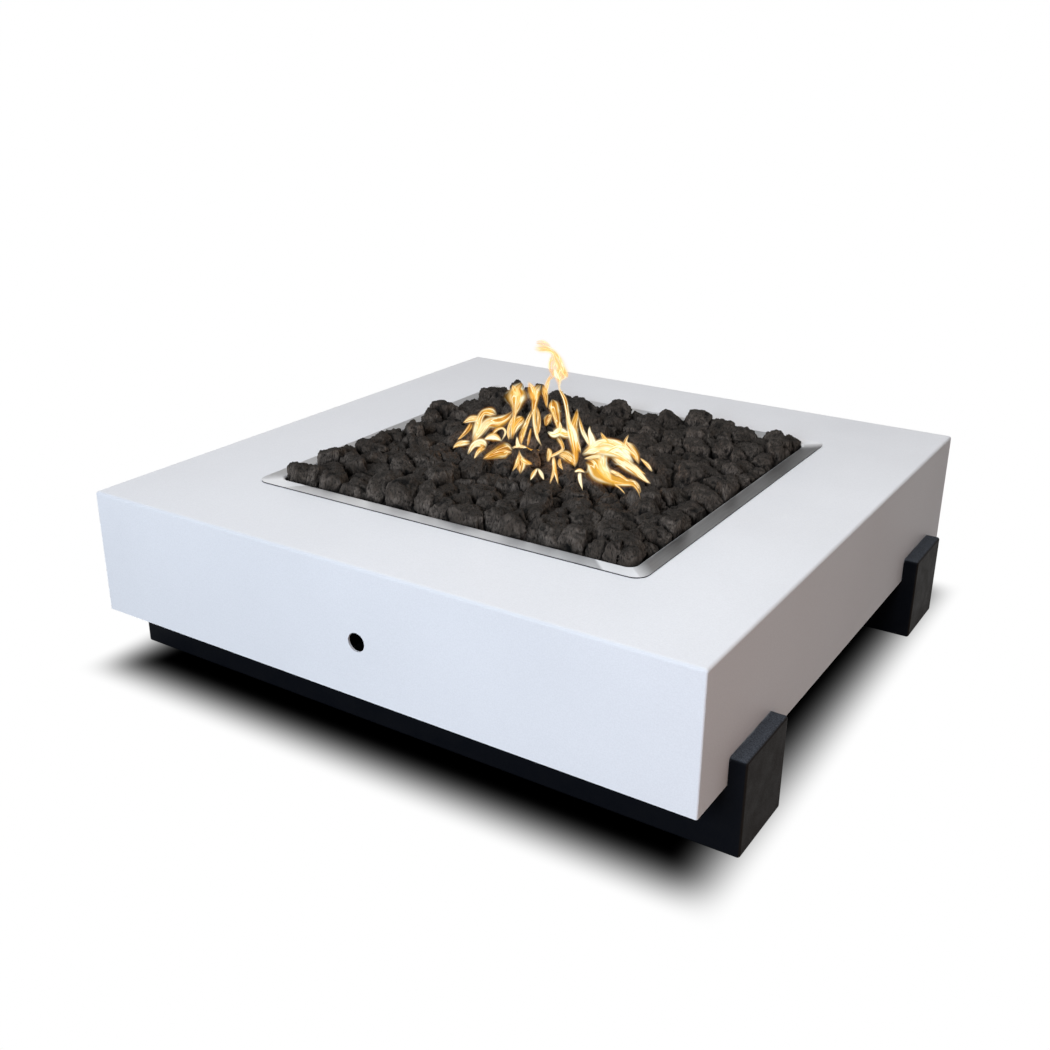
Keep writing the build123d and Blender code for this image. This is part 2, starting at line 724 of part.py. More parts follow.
def throw_seeds(radii, spread, is_free, dice):
    """Places for stones, the largest first, each clear of the ones before."""
    seeds = []
    for radius in radii:
        reach = tray_half - stone_gap - wall_stone_share * radius
        for _ in range(stone_tries):
            x, y = dice.uniform(-reach, reach), dice.uniform(-reach, reach)
            apart = all(
                math.hypot(x - other.X, y - other.Y) > spread * (radius + size) for other, size, _ in seeds
            )
            if apart and is_free(x, y, radius):
                seeds.append((Vector(x, y, 0), radius, dice.random()))
    return seeds


def neighbour_planes(seed, radius, seeds):
    """Planes half a gap short of the boundary to each near stone, set by the stones' sizes."""
    planes = []
    for other, size, _ in seeds:
        away = other - seed
        distance = away.length
        if 0 < distance < 3 * max(radius, size) + radius:
            middle = (distance**2 + radius**2 - size**2) / (2 * distance)
            normal = away / distance
            planes.append((normal, seed.dot(normal) + middle - stone_gap / 2))
    return planes


def tray_planes():
    """Planes that keep a stone out of the recess's rounded corners and folds."""
    planes = []
    slant = math.sqrt(0.5)
    corner_start = tray_half - tray_inside_corner
    for x in (-slant, slant):
        for y in (-slant, slant):
            planes.append((Vector(x, y, 0), slant * (corner_start + tray_half - stone_gap)))
    fold_start = tray_half - tray_bend
    for x, y in ((1, 0), (-1, 0), (0, 1), (0, -1)):
        planes.append((Vector(x, y, -1) * slant, slant * (fold_start - z_tray_floor - stone_gap)))
    return planes


def burner_planes(seed):
    """Planes that keep a lower stone clear of the hub, the rings and the arms."""
    planes = []
    bearing = math.atan2(seed.Y, seed.X)
    outward = Vector(math.cos(bearing), math.sin(bearing), 0)
    distance = math.hypot(seed.X, seed.Y)
    tube = ring_tube / 2
    bands = [(0, max(hub_radius, locknut_across_flats / math.sqrt(3), fibre_washer_diameter / 2))]
    bands += [(radius - tube, radius + tube) for radius in (inner_ring_radius, outer_ring_radius)]
    for inside, outside in bands:
        if distance > outside:
            planes.append((outward * -1, -outside - stone_gap))
            continue
        apothem = (inside - stone_gap) * math.cos(math.pi / ring_sides)
        for i in range(ring_sides):
            angle = 2 * math.pi * (i + 0.5) / ring_sides
            planes.append((Vector(math.cos(angle), math.sin(angle), 0), apothem))
        break
    if distance < outer_ring_radius:
        for i in range(arm_count):
            angle = 2 * math.pi * i / arm_count
            arm = Vector(math.cos(angle), math.sin(angle), 0)
            square = Vector(-arm.Y, arm.X, 0)
            if seed.dot(arm) > 0:
                hand = 1 if seed.dot(square) > 0 else -1
                planes.append((square * -hand, -arm_tube / 2 - stone_gap))
    return planes


def rounding_planes(centre, radius, squash, dice):
    """Planes tangent to a flattened ball, spread evenly round it and then shaken."""
    planes = []
    golden_angle = math.pi * (3 - math.sqrt(5))
    for i in range(stone_facets):
        height = 1 - 2 * (i + 0.5) / stone_facets
        angle = golden_angle * i + dice.uniform(-facet_turn, facet_turn)
        ring = math.sqrt(1 - height**2)
        tipped = height + dice.uniform(-facet_tip, facet_tip)
        normal = Vector(ring * math.cos(angle), ring * math.sin(angle), tipped).normalized()
        reach = radius * dice.uniform(*facet_reaches)
        support = reach * math.sqrt(normal.X**2 + normal.Y**2 + (squash * normal.Z) ** 2)
        planes.append((normal, centre.dot(normal) + support))
    return planes


def stone(z_low, z_high, fixed_planes, loose_planes):
    """One stone: a block cut back by every plane, passing over loose ones that leave a sliver edge."""
    faces = start_block(z_low, z_high)
    for normal, offset in fixed_planes:
        faces = cut_polyhedron(faces, normal, offset)
    for normal, offset in loose_planes:
        trial = cut_polyhedron(faces, normal, offset)
        if trial and shortest_edge(trial) > shortest_stone_edge:
            faces = trial
    return faces


def solid_from(faces):
    return Solid(Shell([Face(Wire.make_polygon(corners)) for corners in faces]))


def lower_stones():
    """Stones on the tray's floor, round and between the burner's tubes."""
    dice = random.Random(stone_seed)

    def is_free(x, y, radius):
        distance = math.hypot(x, y)
        margin = ring_tube / 2 + burner_stone_share * radius
        if distance > outer_ring_radius + margin:
            return True
        if min(abs(x), abs(y)) < arm_tube / 2 + burner_stone_share * radius:
            return False
        return min(abs(distance - ring) for ring in (inner_ring_radius, outer_ring_radius)) > margin

    seeds = throw_seeds(lower_stone_radii, lower_stone_spread, is_free, dice)
    made = []
    for seed, radius, _ in seeds:
        fixed = neighbour_planes(seed, radius, seeds) + tray_planes() + burner_planes(seed)
        centre = seed + Vector(0, 0, (z_tray_floor + z_burner_top) / 2)
        loose = rounding_planes(centre, radius, lower_stone_squash, dice)
        made.append(solid_from(stone(z_tray_floor + stone_gap, z_burner_top, fixed, loose)))
    return group(made)


def upper_stones():
    """The stones that show: a heaped bed from just above the burner to over the flange."""
    dice = random.Random(stone_seed + 1)
    seeds = throw_seeds(upper_stone_radii, upper_stone_spread, lambda x, y, radius: True, dice)
    made = []
    for seed, radius, lift in seeds:
        fixed = neighbour_planes(seed, radius, seeds) + tray_planes()
        crown = z_flange + stone_crown + stone_crown_swing * (2 * lift - 1)
        half_height = (crown - z_stone_split) / 2
        centre = seed + Vector(0, 0, z_stone_split + half_height)
        reach = upper_stone_fullness * radius
        loose = rounding_planes(centre, reach, half_height / reach, dice)
        made.append(solid_from(stone(z_stone_split, crown, fixed, loose)))
    return group(made)


# ---- Nodes ----
def write_node(name, shape):
    export_step(shape, f"parts/{name}.step")


def write_body():
    write_node("top_panel", top_panel())
    write_node("front_panel", front_panel())
    write_node("rear_panel", end_panel(1))
    write_node("left_panel", side_panel(-1))
    write_node("right_panel", side_panel(1))
    write_node("base_frame", base_frame())
    write_node("cutout_frame", cutout_frame())
    for name, end in (("front", -1), ("rear", 1)):
        write_node(f"{name}_cradle_beam", cradle_beam(end))
        write_node(f"{name}_cradle_uprights", cradle_uprights(end))
    write_node("cradle_bolts", cradle_bolts())
    write_node("cradle_washers", cradle_washers())
    write_node("cradle_weld_nuts", cradle_weld_nuts())


def write_tray():
    write_node("burner_tray", burner_tray())
    write_node("outer_burner_ring", burner_ring(outer_ring_radius, outer_port_count))
    write_node("inner_burner_ring", burner_ring(inner_ring_radius, inner_port_count))
    write_node("burner_hub_and_arms", burner_arms())
    write_node("burner_standoffs", burner_standoffs())
    write_node("inlet_nipple", inlet_nipple())
    write_node("fibre_washers", fibre_washers())
    write_node("bulkhead_locknuts", bulkhead_locknuts())
    write_node("tray_elbow", tray_elbow())
    write_node("tray_flare_fitting", flare_fitting(tray_face, (1, 0, 0)))
    write_node("tray_hose_nut", hose_nut(tray_face, (1, 0, 0)))
    write_node("lower_lava_stones", lower_stones())
    write_node("upper_lava_stones", upper_stones())


def write_valve():
    write_node("valve_body", valve_body())
    write_node("valve_ball", valve_ball())
    write_node("valve_seats", valve_seats())
    write_node("valve_caps", valve_caps())
    write_node("valve_stem", valve_stem())
    write_node("stem_seals", stem_seals())
    write_node("neck_locknut", neck_locknut())
    write_node("valve_bracket", valve_bracket())
    write_node("bracket_studs", bracket_studs())
    write_node("bracket_nuts", bracket_nuts())
    write_node("inlet_elbow", inlet_elbow())
    fittings = [flare_fitting(inlet_face, (0, 1, 0)), flare_fitting(outlet_face, (1, 0, 0))]
    write_node("valve_flare_fittings", group(fittings))
    write_node("valve_hose_nut", hose_nut(outlet_face, (1, 0, 0)))
    write_node("gas_hose", gas_hose())


os.makedirs("parts", exist_ok=True)
write_body()
write_tray()
write_valve()
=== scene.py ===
"""Looks for the square gas fire pit table: a white powder-coated body in two black cradles, with a brushed
stainless tray of lava stones and low flames. Metres, in the CAD's own frame."""

import json
import math
import random

import bmesh
import bpy
import numpy as np
from mathutils import Euler, Matrix, Vector


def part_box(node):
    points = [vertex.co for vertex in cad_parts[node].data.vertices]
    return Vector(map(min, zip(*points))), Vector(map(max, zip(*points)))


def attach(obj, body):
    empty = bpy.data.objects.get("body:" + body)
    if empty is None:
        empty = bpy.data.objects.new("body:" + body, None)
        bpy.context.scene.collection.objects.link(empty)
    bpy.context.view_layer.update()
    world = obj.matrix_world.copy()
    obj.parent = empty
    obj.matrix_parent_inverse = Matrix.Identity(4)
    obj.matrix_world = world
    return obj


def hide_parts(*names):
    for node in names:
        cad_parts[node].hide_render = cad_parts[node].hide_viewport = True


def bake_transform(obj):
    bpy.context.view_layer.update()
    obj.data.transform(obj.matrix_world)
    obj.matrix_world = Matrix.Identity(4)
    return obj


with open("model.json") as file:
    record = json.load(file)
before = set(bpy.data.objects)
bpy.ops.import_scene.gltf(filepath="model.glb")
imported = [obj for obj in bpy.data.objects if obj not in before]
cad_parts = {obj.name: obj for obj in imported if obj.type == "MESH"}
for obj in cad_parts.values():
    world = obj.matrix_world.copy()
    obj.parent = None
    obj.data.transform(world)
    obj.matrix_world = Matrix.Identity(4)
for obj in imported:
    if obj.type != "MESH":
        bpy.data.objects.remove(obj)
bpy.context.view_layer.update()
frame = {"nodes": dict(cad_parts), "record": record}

slots = {part["node"]: part["material_slot"] for part in frame["record"]["subparts"]}

# ---- Camera ----
camera_place = (0.8695, -1.4392, 0.8456)
camera_turn = (-32.60, 22.00, -0.424)  # degrees: yaw, down, roll
camera_lens = 41.24
camera_sensor = 36.0

# ---- Patterns and units ----
noise_sum = (0.7, 1.3)  # the sum of two noises mostly lies between these
mm_per_metre = 1000

# ---- Paint ----
coat_grain_size = 0.0016
white_clouds = ((0.76, 0.77, 0.79, 1), (0.80, 0.81, 0.83, 1))
white_cloud_size = 0.22
white_peel_size = 0.0042
white_peel_height = 0.00030
white_grain_height = 0.00018
white_speck = (0.5, 0.5, 0.51, 1)
white_fold_painted_shade = (0.50, 0.52, 0.55, 1)  # painted shade along edges between the top and the front or back
# painted shade on faces that look along Y, and painted light on faces that look along X
black_front_painted_shade = (0.0035, 0.0042, 0.0060, 1)
black_side_painted_light = (0.0110, 0.0080, 0.0060, 1)
black_patch = (0.02, 0.019, 0.018, 1)
black_patch_size = 0.03
black_grain_height = 0.00025
# dusty grey with a painted sheen, on the tops
dust_and_sheen_grey = (0.072, 0.080, 0.094, 1)
# grey of the wear and painted highlight along the upper edges
wear_and_highlight_grey = (0.32, 0.34, 0.36, 1)
wear_and_highlight_reach = 0.006  # how far the wear and painted highlight go down from the tops of the uprights
wear_and_highlight_edge = 0.003  # how wide the wear and painted highlight are along an edge

# ---- Stainless ----
steel_clouds = ((0.64, 0.64, 0.65, 1), (0.72, 0.72, 0.72, 1))
steel_stain_size = 0.05
steel_stroke = (0.30, 0.29, 0.31, 1)
stroke_size = 0.0009
stroke_height = 0.00004
stroke_scale = 0.02  # of place along a stroke, which draws the noise out into strokes
# painted shadow along the tray's cut edge
cut_edge_shadow_grey = (0.05, 0.05, 0.055, 1)
cut_edge_shadow_depth = 0.0005  # the painted shadow on the cut edge fades out over this much below the table's top
# painted highlight in the matt band at the corners
corner_highlight_grey = (0.86, 0.86, 0.86, 1)
corner_patch_start = (-0.055, -0.050)  # across less along, where the corner's matt band with its painted highlight fades in
corner_patch_end = (0.004, 0.030)  # and where it fades out

# ---- Other metals and plastics, by slot ----
# Name, darkest and lightest colour, lowest and highest roughness, size of the pattern, metallic.
plain_looks = {
    "zinc": ("zinc_plate", (0.50, 0.51, 0.53), (0.66, 0.67, 0.69), 0.28, 0.45, 0.004, 1.0),
    "brass": ("brass", (0.58, 0.42, 0.17), (0.76, 0.60, 0.30), 0.24, 0.42, 0.004, 1.0),
    "chrome": ("chrome", (0.74, 0.74, 0.75), (0.80, 0.80, 0.81), 0.06, 0.14, 0.004, 1.0),
    "burner_steel": ("burner_steel", (0.24, 0.18, 0.13), (0.46, 0.42, 0.38), 0.34, 0.55, 0.012, 1.0),
    "hose_steel": ("hose_steel", (0.46, 0.46, 0.45), (0.60, 0.60, 0.59), 0.26, 0.42, 0.004, 1.0),
    "black_iron": ("black_iron", (0.02, 0.02, 0.02), (0.06, 0.055, 0.05), 0.5, 0.7, 0.006, 0.6),
    "seat_plastic": ("seat_plastic", (0.76, 0.76, 0.73), (0.84, 0.84, 0.82), 0.4, 0.5, 0.004, 0.0),
    "seal_rubber": ("seal_rubber", (0.010, 0.010, 0.010), (0.022, 0.022, 0.022), 0.6, 0.8, 0.003, 0.0),
    "fibre": ("fibre", (0.22, 0.06, 0.04), (0.34, 0.12, 0.08), 0.65, 0.85, 0.004, 0.0),
}
plain_cloud_ratio = 4  # its clouds are this much larger than the pattern, and its grain this much smaller
plain_grain_height = 0.00008

# ---- Lava ----
lava_clouds = ((0.070, 0.056, 0.045, 1), (0.148, 0.125, 0.106, 1))
lava_cloud_size = 0.030
lava_top_painted_shade = (0.018, 0.016, 0.014, 1)  # painted shade on faces that look up
# painted shade where the mottle's bump sinks
lava_mottle_painted_shade = (0.020, 0.017, 0.014, 1)
# painted shade in crevices between stones
lava_crevice_painted_shade = (0.004, 0.003, 0.002, 1)
# painted shade in the pits
lava_pit_painted_shade = (0.005, 0.004, 0.003, 1)
# painted shade in the hollows
lava_hollow_painted_shade = (0.003, 0.0025, 0.002, 1)
lava_stretch = (1, 1, 0.30)  # mottle, grain and pits are drawn out upwards
lava_mottle_size = 0.0045
lava_mottle_height = 0.0026
lava_grain_size = 0.0014
lava_grain_height = 0.0012
lava_pit_size = 0.0030
lava_pit_depth = 0.0012
crevice_shade_reach = 0.018  # how near other stones must be for the painted shade in a crevice

# ---- Stones ----
stone_detail = 5  # how often the ball behind each stone is divided
stones_per_piece = 36
stone_rounding = 60.0  # a higher power keeps the facets sharper
stone_chips = 22  # broken faces cut off each stone
chip_seed = 1000
chip_depth = (0.62, 0.92)  # where a chip cuts, as a share of the stone's reach that way
stone_fill = 0.0022  # how far the stones swell into the gaps between them
stone_lumps = ((0.0130, 0.0010), (0.0052, 0.0010), (0.0030, 0.0008))  # size, height
lump_level = 0.35  # the surface rises where twice the noise is below this, and sinks elsewhere
stone_pits = ((0.0090, 0.0010), (0.0040, 0.0011))  # size, depth
pit_reach = 0.55  # a pit's radius, as a share of its size
stone_ledges = ((0.0150, 0.0042), (0.0075, 0.0022))  # size, height of broken steps
ledge_steps = 2.5  # steps from the middle to the highest ledge
ledge_seed = 5
hollow_share = 0.55  # of the whole relief, from the plain surface down to a full hollow
stone_warp = (0.011, 0.002)  # size, reach: the pattern of lumps, ledges and pits is bent by this
warp_seeds = (11, 12, 13)
stone_apart = 0.37  # from one stone's part of the noise to the next
stone_stretch = (1.0, 1.0, 2.2)  # lumps and pits are drawn out upwards
stone_tilt = 20.0  # degrees that they may lean from upright
tray_corner = 0.012  # inside radius of the tray's upright corners
corner_gap = 1e-5  # corners of the CAD mesh that are nearer than this are one

# ---- Noise on points ----
hash_primes = np.array([73856093, 19349663, 83492791])
hash_seed = 1013
hash_mix = np.uint64(0x9E3779B97F4A7C15)
lattice_gain = 1.5  # brings the noise to about -1 to 1

# ---- Hose ----
hose_bend_radius = 0.080
hose_bend_steps = 18  # short straights that make each bend
hose_pitch = 0.0045  # from one corrugation to the next
hose_wave = 0.0007  # half the depth of a corrugation
hose_rows = 6  # rings in each corrugation
hose_sides = 20

# ---- Flames ----
# Each flame is a ribbon along a smooth line: how far back it stands, its warmth from 0 to 1, and its points
# from root to tip as (across, up, width). Lengths are in mm, from the middle of the bed.
flame_seed = 11
flame_bearing = 32.6  # degrees: the bearing that the ribbons lie along
flame_turn = 16.0  # degrees that a ribbon may turn from it
flame_back = -15.0  # mm: how far back from the bed's middle the lines are measured
flame_taper = 0.52  # how much larger they get per metre towards the back
flame_rise = 0.020  # above the flange, where the ribbons start
flame_steps = 9  # rows of points from one point of a line to the next
flame_columns = 11  # points across a ribbon
flame_bow = 0.30  # how far a ribbon bulges, as a share of its half width
flame_spread = 1.9  # soft rims widen a ribbon by this
flame_thinnest = 0.0004  # narrowest width before it is widened
flame_grain = 0.06  # length of ribbon over which its pattern changes
flame_patterns = 30  # how far apart the ribbons' patterns may be taken
flame_licks = 1  # finer licks over each ribbon
lick_share = (0.16, 0.34)  # width of a lick, as a share of its ribbon's
lick_drift = 0.34  # how far a lick stands to the side, as a share of the ribbon's width
lick_shake = 0.12  # how far each of its points may stray from there
lick_lift = (-1, 2)  # mm that each of its points may move down or up
lick_ahead = 3  # mm that it stands in front of its ribbon
flame_strength = 1.3
flame_deep = (0.80, 0.25, 0.02, 1)
flame_orange = (1.0, 0.52, 0.07, 1)
flame_cream = (1.0, 0.95, 0.66, 1)
swirl_stretch = (1.2, 2.6, 1.0)
swirl_share = 0.35  # how far a swirl bends the pattern, as a share of the ribbon
thread_stretch = (2.2, 1.1, 1.0)
patch_stretch = (1.0, 1.7, 1.0)
cloud_stretch = (2.4, 1.2, 1.0)
left_flames = (
    (50, 0.75, ((-120, 0, 3), (-113, 17, 11), (-109, 32, 9), (-103, 41, 9), (-92, 41, 12), (-84, 37, 2))),
    (50, 0.60, ((-134, 25, 1), (-122, 31, 9), (-110, 33, 8))),
    (50, 0.30, ((-144, -3, 1), (-134, 7, 4), (-125, 18, 6), (-121, 27, 4))),
    (30, 0.70, ((-122, 2, 2), (-110, 17, 9), (-98, 31, 14), (-82, 33, 15), (-70, 39, 10), (-61, 49, 3))),
    (41, 1.00, ((-104, 3, 1), (-90, 7, 11), (-77, 2, 2))),
    (41, 0.70, ((-91, 11, 5), (-84, 19, 4), (-76, 21, 3), (-72, 14, 3), (-78, 1, 1))),
    (14, 0.80, ((-150, -1, 1), (-139, 5, 8), (-124, 8, 5))),
    (-33, 0.80, ((-129, 5, 2), (-120, 19, 8), (-108, 22, 12), (-101, 16, 4))),
    (-33, 0.80, ((-120, -2, 1), (-113, 9, 6), (-103, 17, 8))),
    (-46, 0.15, ((-107, 5, 4), (-90, 10, 13), (-73, 14, 20), (-63, 12, 5))),
    (45, 0.55, ((-63, 2, 5), (-61, 18, 7), (-59, 38, 5), (-56, 52, 13), (-55, 65, 25), (-53, 78, 17),
                (-47, 89, 2))),
    (45, 0.50, ((-55, 68, 8), (-58, 77, 8), (-62, 85, 1))),
    (45, 0.30, ((-61, 9, 3), (-57, 22, 12), (-50, 31, 14), (-45, 36, 5))),
    (45, 0.50, ((-66, 2, 2), (-68, 14, 4), (-65, 27, 4), (-59, 40, 3))),
)
middle_flames = (
    (18, 0.75, ((-19, 1, 1), (-26, 15, 4), (-30, 35, 5), (-31, 57, 6), (-30, 72, 9), (-29, 84, 14),
                (-21, 95, 2))),
    (18, 0.40, ((-31, 70, 8), (-34, 85, 11), (-40, 99, 1))),
    (18, 0.45, ((-33, 58, 3), (-43, 33, 6), (-49, 15, 7), (-51, 1, 2))),
    (18, 0.30, ((-35, 29, 2), (-38, 12, 4), (-40, 0, 1))),
    (18, 0.15, ((-27, 62, 2), (-24, 46, 5), (-24, 28, 5), (-28, 14, 2))),
    (0, 0.65, ((-65, 3, 1), (-51, 6, 5), (-36, 1, 4), (-21, 2, 1))),
    (0, 0.80, ((-53, 4, 7), (-55, 12, 5), (-56, 22, 1))),
    (30, 0.25, ((-12, 55, 1), (-14, 68, 6), (-16, 79, 8), (-18, 92, 1))),
    (30, 0.40, ((-15, 74, 5), (-12, 91, 6), (-7, 107, 1))),
    (30, 0.05, ((-14, 28, 2), (-10, 38, 10), (-5, 47, 3))),
    (30, 0.50, ((7, 18, 2), (4, 34, 8), (1, 48, 12), (-2, 60, 13), (-5, 69, 2))),
    (-70, 0.85, ((29, 0, 1), (29, 12, 6), (27, 30, 10), (23, 50, 13), (18, 66, 7), (15, 83, 5), (11, 102, 5),
                 (3, 119, 3), (3, 132, 4))),
    (0, 0.95, ((-12, 28, 2), (-3, 24, 9), (6, 29, 12), (15, 26, 11), (26, 28, 4))),
    (0, 0.70, ((6, 26, 6), (7, 36, 5), (6, 46, 1))),
    (-50, 0.65, ((2, 38, 7), (9, 27, 5), (9, 19, 4), (-4, 10, 4), (-14, 6, 1))),
    (-141, 0.55, ((-11, 0, 1), (-5, 22, 5), (-6, 43, 3))),
    (-141, 0.70, ((2, 0, 1), (-2, 15, 4), (-5, 32, 5), (-6, 43, 3))),
    (-141, 0.20, ((-14, 34, 3), (-12, 48, 7), (-14, 56, 2))),
    (-70, 0.10, ((3, 18, 3), (14, 17, 14), (24, 8, 10), (28, 0, 1))),
    (-83, 0.35, ((5, 18, 2), (5, 8, 5), (10, 0, 1))),
    (-162, 1.00, ((37, 0, 1), (33, 15, 5), (32, 27, 5))),
    (-162, 1.00, ((24, 28, 1), (32, 30, 5), (40, 27, 1))),
    (-11, 0.30, ((38, 0, 1), (34, 9, 6), (28, 25, 9), (27, 42, 10), (30, 58, 6), (31, 69, 1))),
    (-11, 0.85, ((50, 12, 2), (46, 22, 5), (39, 36, 5), (33, 58, 2))),
    (-101, 0.10, ((-53, 0, 1), (-52, 11, 13), (-53, 20, 13), (-54, 28, 5), (-55, 37, 1))),
    (-101, 0.60, ((-54, 25, 3), (-45, 18, 7), (-35, 15, 2))),
    (-101, 0.50, ((-55, 30, 3), (-58, 17, 4), (-65, 4, 1))),
    (-125, 0.90, ((-39, 0, 1), (-34, 9, 6), (-28, 18, 2))),
    (-125, 0.80, ((-19, 0, 1), (-23, 9, 5), (-28, 18, 2))),
)
right_flames = (
    (-33, 0.95, ((57, 10, 15), (52, 31, 9), (49, 42, 4), (49, 50, 1))),
    (-66, 1.00, ((38, 16, 4), (53, 24, 14), (72, 24, 17), (90, 20, 14), (104, 13, 10), (114, 5, 3))),
    (-66, 0.80, ((48, 27, 3), (60, 36, 8), (76, 37, 10), (92, 31, 9), (104, 20, 6), (112, 9, 2))),
    (-65, 0.85, ((66, 22, 18), (84, 30, 16), (98, 26, 12), (110, 18, 6))),
    (-66, 0.35, ((74, 34, 11), (69, 43, 6), (64, 52, 1))),
    (-63, 0.65, ((105, 48, 1), (101, 36, 5), (107, 27, 12), (117, 14, 9), (122, 2, 1))),
    (-63, 0.60, ((78, 37, 3), (90, 34, 8), (103, 28, 6))),
    (-130, 0.75, ((79, 39, 10), (97, 27, 15), (115, 16, 12), (130, 4, 5), (138, -1, 1))),
    (-100, 0.50, ((114, 15, 2), (123, 6, 2), (131, 0, 1))),
    (-89, 0.75, ((122, 21, 1), (133, 11, 5), (141, 1, 2))),
    (-185, 0.35, ((40, 55, 6), (50, 49, 20), (60, 35, 24), (77, 25, 16), (94, 21, 12), (110, 19, 9),
                  (118, 11, 6), (122, 0, 1))),
    (-167, 1.00, ((64, 56, 13), (64, 40, 13), (70, 27, 12), (79, 15, 2))),
    (-175, 0.70, ((75, 35, 4), (89, 28, 6), (104, 19, 3))),
    (-175, 0.45, ((82, 15, 2), (91, 8, 2), (99, 0, 1))),
    (-167, 0.80, ((38, 50, 2), (52, 53, 5), (64, 54, 5))),
)
plume_flames = (
    (-70, 0.30, ((3, 120, 3), (2, 131, 9), (3, 138, 20), (1, 150, 18), (-2, 161, 14), (-7, 171, 8),
                 (-16, 175, 9), (-27, 176, 11), (-36, 175, 3))),
    (-70, 0.95, ((3, 132, 2), (-2, 139, 8), (-4, 147, 3))),
    (-70, 0.60, ((5, 151, 5), (10, 141, 8), (15, 135, 1))),
    (-70, 0.50, ((-33, 178, 2), (-19, 177, 4), (-7, 171, 4), (3, 161, 4), (7, 149, 3))),
    (-70, 0.05, ((-8, 168, 6), (-10, 150, 7), (-7, 137, 4), (-14, 130, 2))),
    (-70, 0.05, ((-32, 186, 3), (-21, 184, 8), (-9, 178, 3))),
)
flame_lines = left_flames + middle_flames + right_flames + plume_flames
glow_places = ((-0.09, -0.05), (0.03, -0.04), (0.12, -0.06))
glow_height = 0.045
glow_size = 0.02
glow_power = 0.10
glow_colour = (1.0, 0.50, 0.16)

# ---- Stage ----
floor_reach = 14.0
floor_colour = (0.128, 0.113, 0.102, 1)
shadow_edges = (-0.060, 0.052)  # from the body's outline: where the floor is black and where it is white
shadow_depth = 2.2  # a higher power makes the shadow's edge darker
white = (1, 1, 1, 1)
world_strength = 0.27
world_tint = (1.0, 0.90, 0.86, 1)
bright_side = 1.15  # what reflections see to the left and behind
dark_side = 0.13  # and to the right
side_edge = (-0.52, -0.38)  # the direction's X where one gives way to the other
horizon_edge = (0.02, 0.22)  # the direction's Z where the white horizon fades
table_middle = (0, 0, 0.2)
# Name, place, what it aims at, size, power, colour, whether reflections show it.
lamps = (
    ("overhead", (0.50, -0.15, 2.07), (0.50, -0.15, 0), 0.9, 16.4, (0.98, 1.0, 1.0), True),
    ("front", (0.3, -4.0, 1.8), table_middle, 1.6, 157, (0.77, 0.87, 1.0), True),
    ("rear", (-2.6, 2.6, 1.8), table_middle, 2.2, 27, (1.0, 0.97, 0.94), False),
    ("side", (1.5, -1.0, 0.35), (0.457, -0.2, 0.2), 0.5, 1.5, (1.0, 0.50, 0.30), False),
)


# ---- Node helpers ----
def feed(tree, socket, value):
    """Links another node's output to a socket, or sets the socket to a plain value."""
    if isinstance(value, bpy.types.NodeSocket):
        tree.links.new(value, socket)
    else:
        socket.default_value = value


def add(tree, kind, inputs=None, **settings):
    """A shader node. Each input is a number, a colour or another node's output."""
    node = tree.nodes.new(kind)
    for name, value in settings.items():
        setattr(node, name, value)
    for name, value in (inputs or {}).items():
        feed(tree, node.inputs[name], value)
    return node


def axes(tree, vector):
    """X, Y and Z of a vector, by name."""
    return add(tree, "ShaderNodeSeparateXYZ", {0: vector}).outputs


def facing_axes(tree):
    """X, Y and Z of the direction that the surface faces, by name."""
    return axes(tree, add(tree, "ShaderNodeNewGeometry").outputs["Normal"])


def stretched(tree, vector, scale):
    """A vector scaled along its axes."""
    return add(tree, "ShaderNodeMapping", {"Vector": vector, "Scale": scale}).outputs[0]


def object_place(tree, stretch=(1, 1, 1)):
    """Place on the object in metres, scaled along its axes."""
    return stretched(tree, add(tree, "ShaderNodeTexCoord").outputs["Object"], stretch)


def point_value(tree, name):
    """A number that the mesh holds for each of its points."""
    return add(tree, "ShaderNodeAttribute", attribute_name=name).outputs["Fac"]


def noise(tree, place, size, detail=3.0, rough=0.5):
    """Noise from 0 to 1 with features of that size in metres."""
    settings = {"Vector": place, "Scale": 1 / size, "Detail": detail, "Roughness": rough}
    return add(tree, "ShaderNodeTexNoise", settings).outputs["Fac"]


def remap(tree, value, low, high, to_low=0, to_high=1):
    """value stretched from one range to another and clipped there."""
    settings = {"Value": value, "From Min": low, "From Max": high, "To Min": to_low, "To Max": to_high}
    return add(tree, "ShaderNodeMapRange", settings).outputs[0]


def math_node(tree, operation, a, b=0):
    """The operation on one or two numbers."""
    node = add(tree, "ShaderNodeMath", operation=operation)
    feed(tree, node.inputs[0], a)
    feed(tree, node.inputs[1], b)
    return node.outputs[0]


def product(tree, a, b):
    """a times b."""
    return math_node(tree, "MULTIPLY", a, b)


def mix_colour(tree, share, first, second):
    """The first colour where share is 0 and the second where it is 1."""
    return add(tree, "ShaderNodeMix", {0: share, 6: first, 7: second}, data_type="RGBA").outputs[2]


def mix_number(tree, share, first, second):
    """The first number where share is 0 and the second where it is 1."""
    return add(tree, "ShaderNodeMix", {0: share, 2: first, 3: second}).outputs[0]


def tint(tree, first, second, value, low, high, share_low=0, share_high=1):
    """The first colour mixed towards the second, by a share that follows value between low and high."""
    return mix_colour(tree, remap(tree, value, low, high, share_low, share_high), first, second)


def bump(tree, height, distance, strength=1.0, below=None):
    """A normal bent by that height, on top of the one below."""
    inputs = {"Height": height, "Distance": distance, "Strength": strength}
    if below is not None:
        inputs["Normal"] = below
    return add(tree, "ShaderNodeBump", inputs).outputs[0]


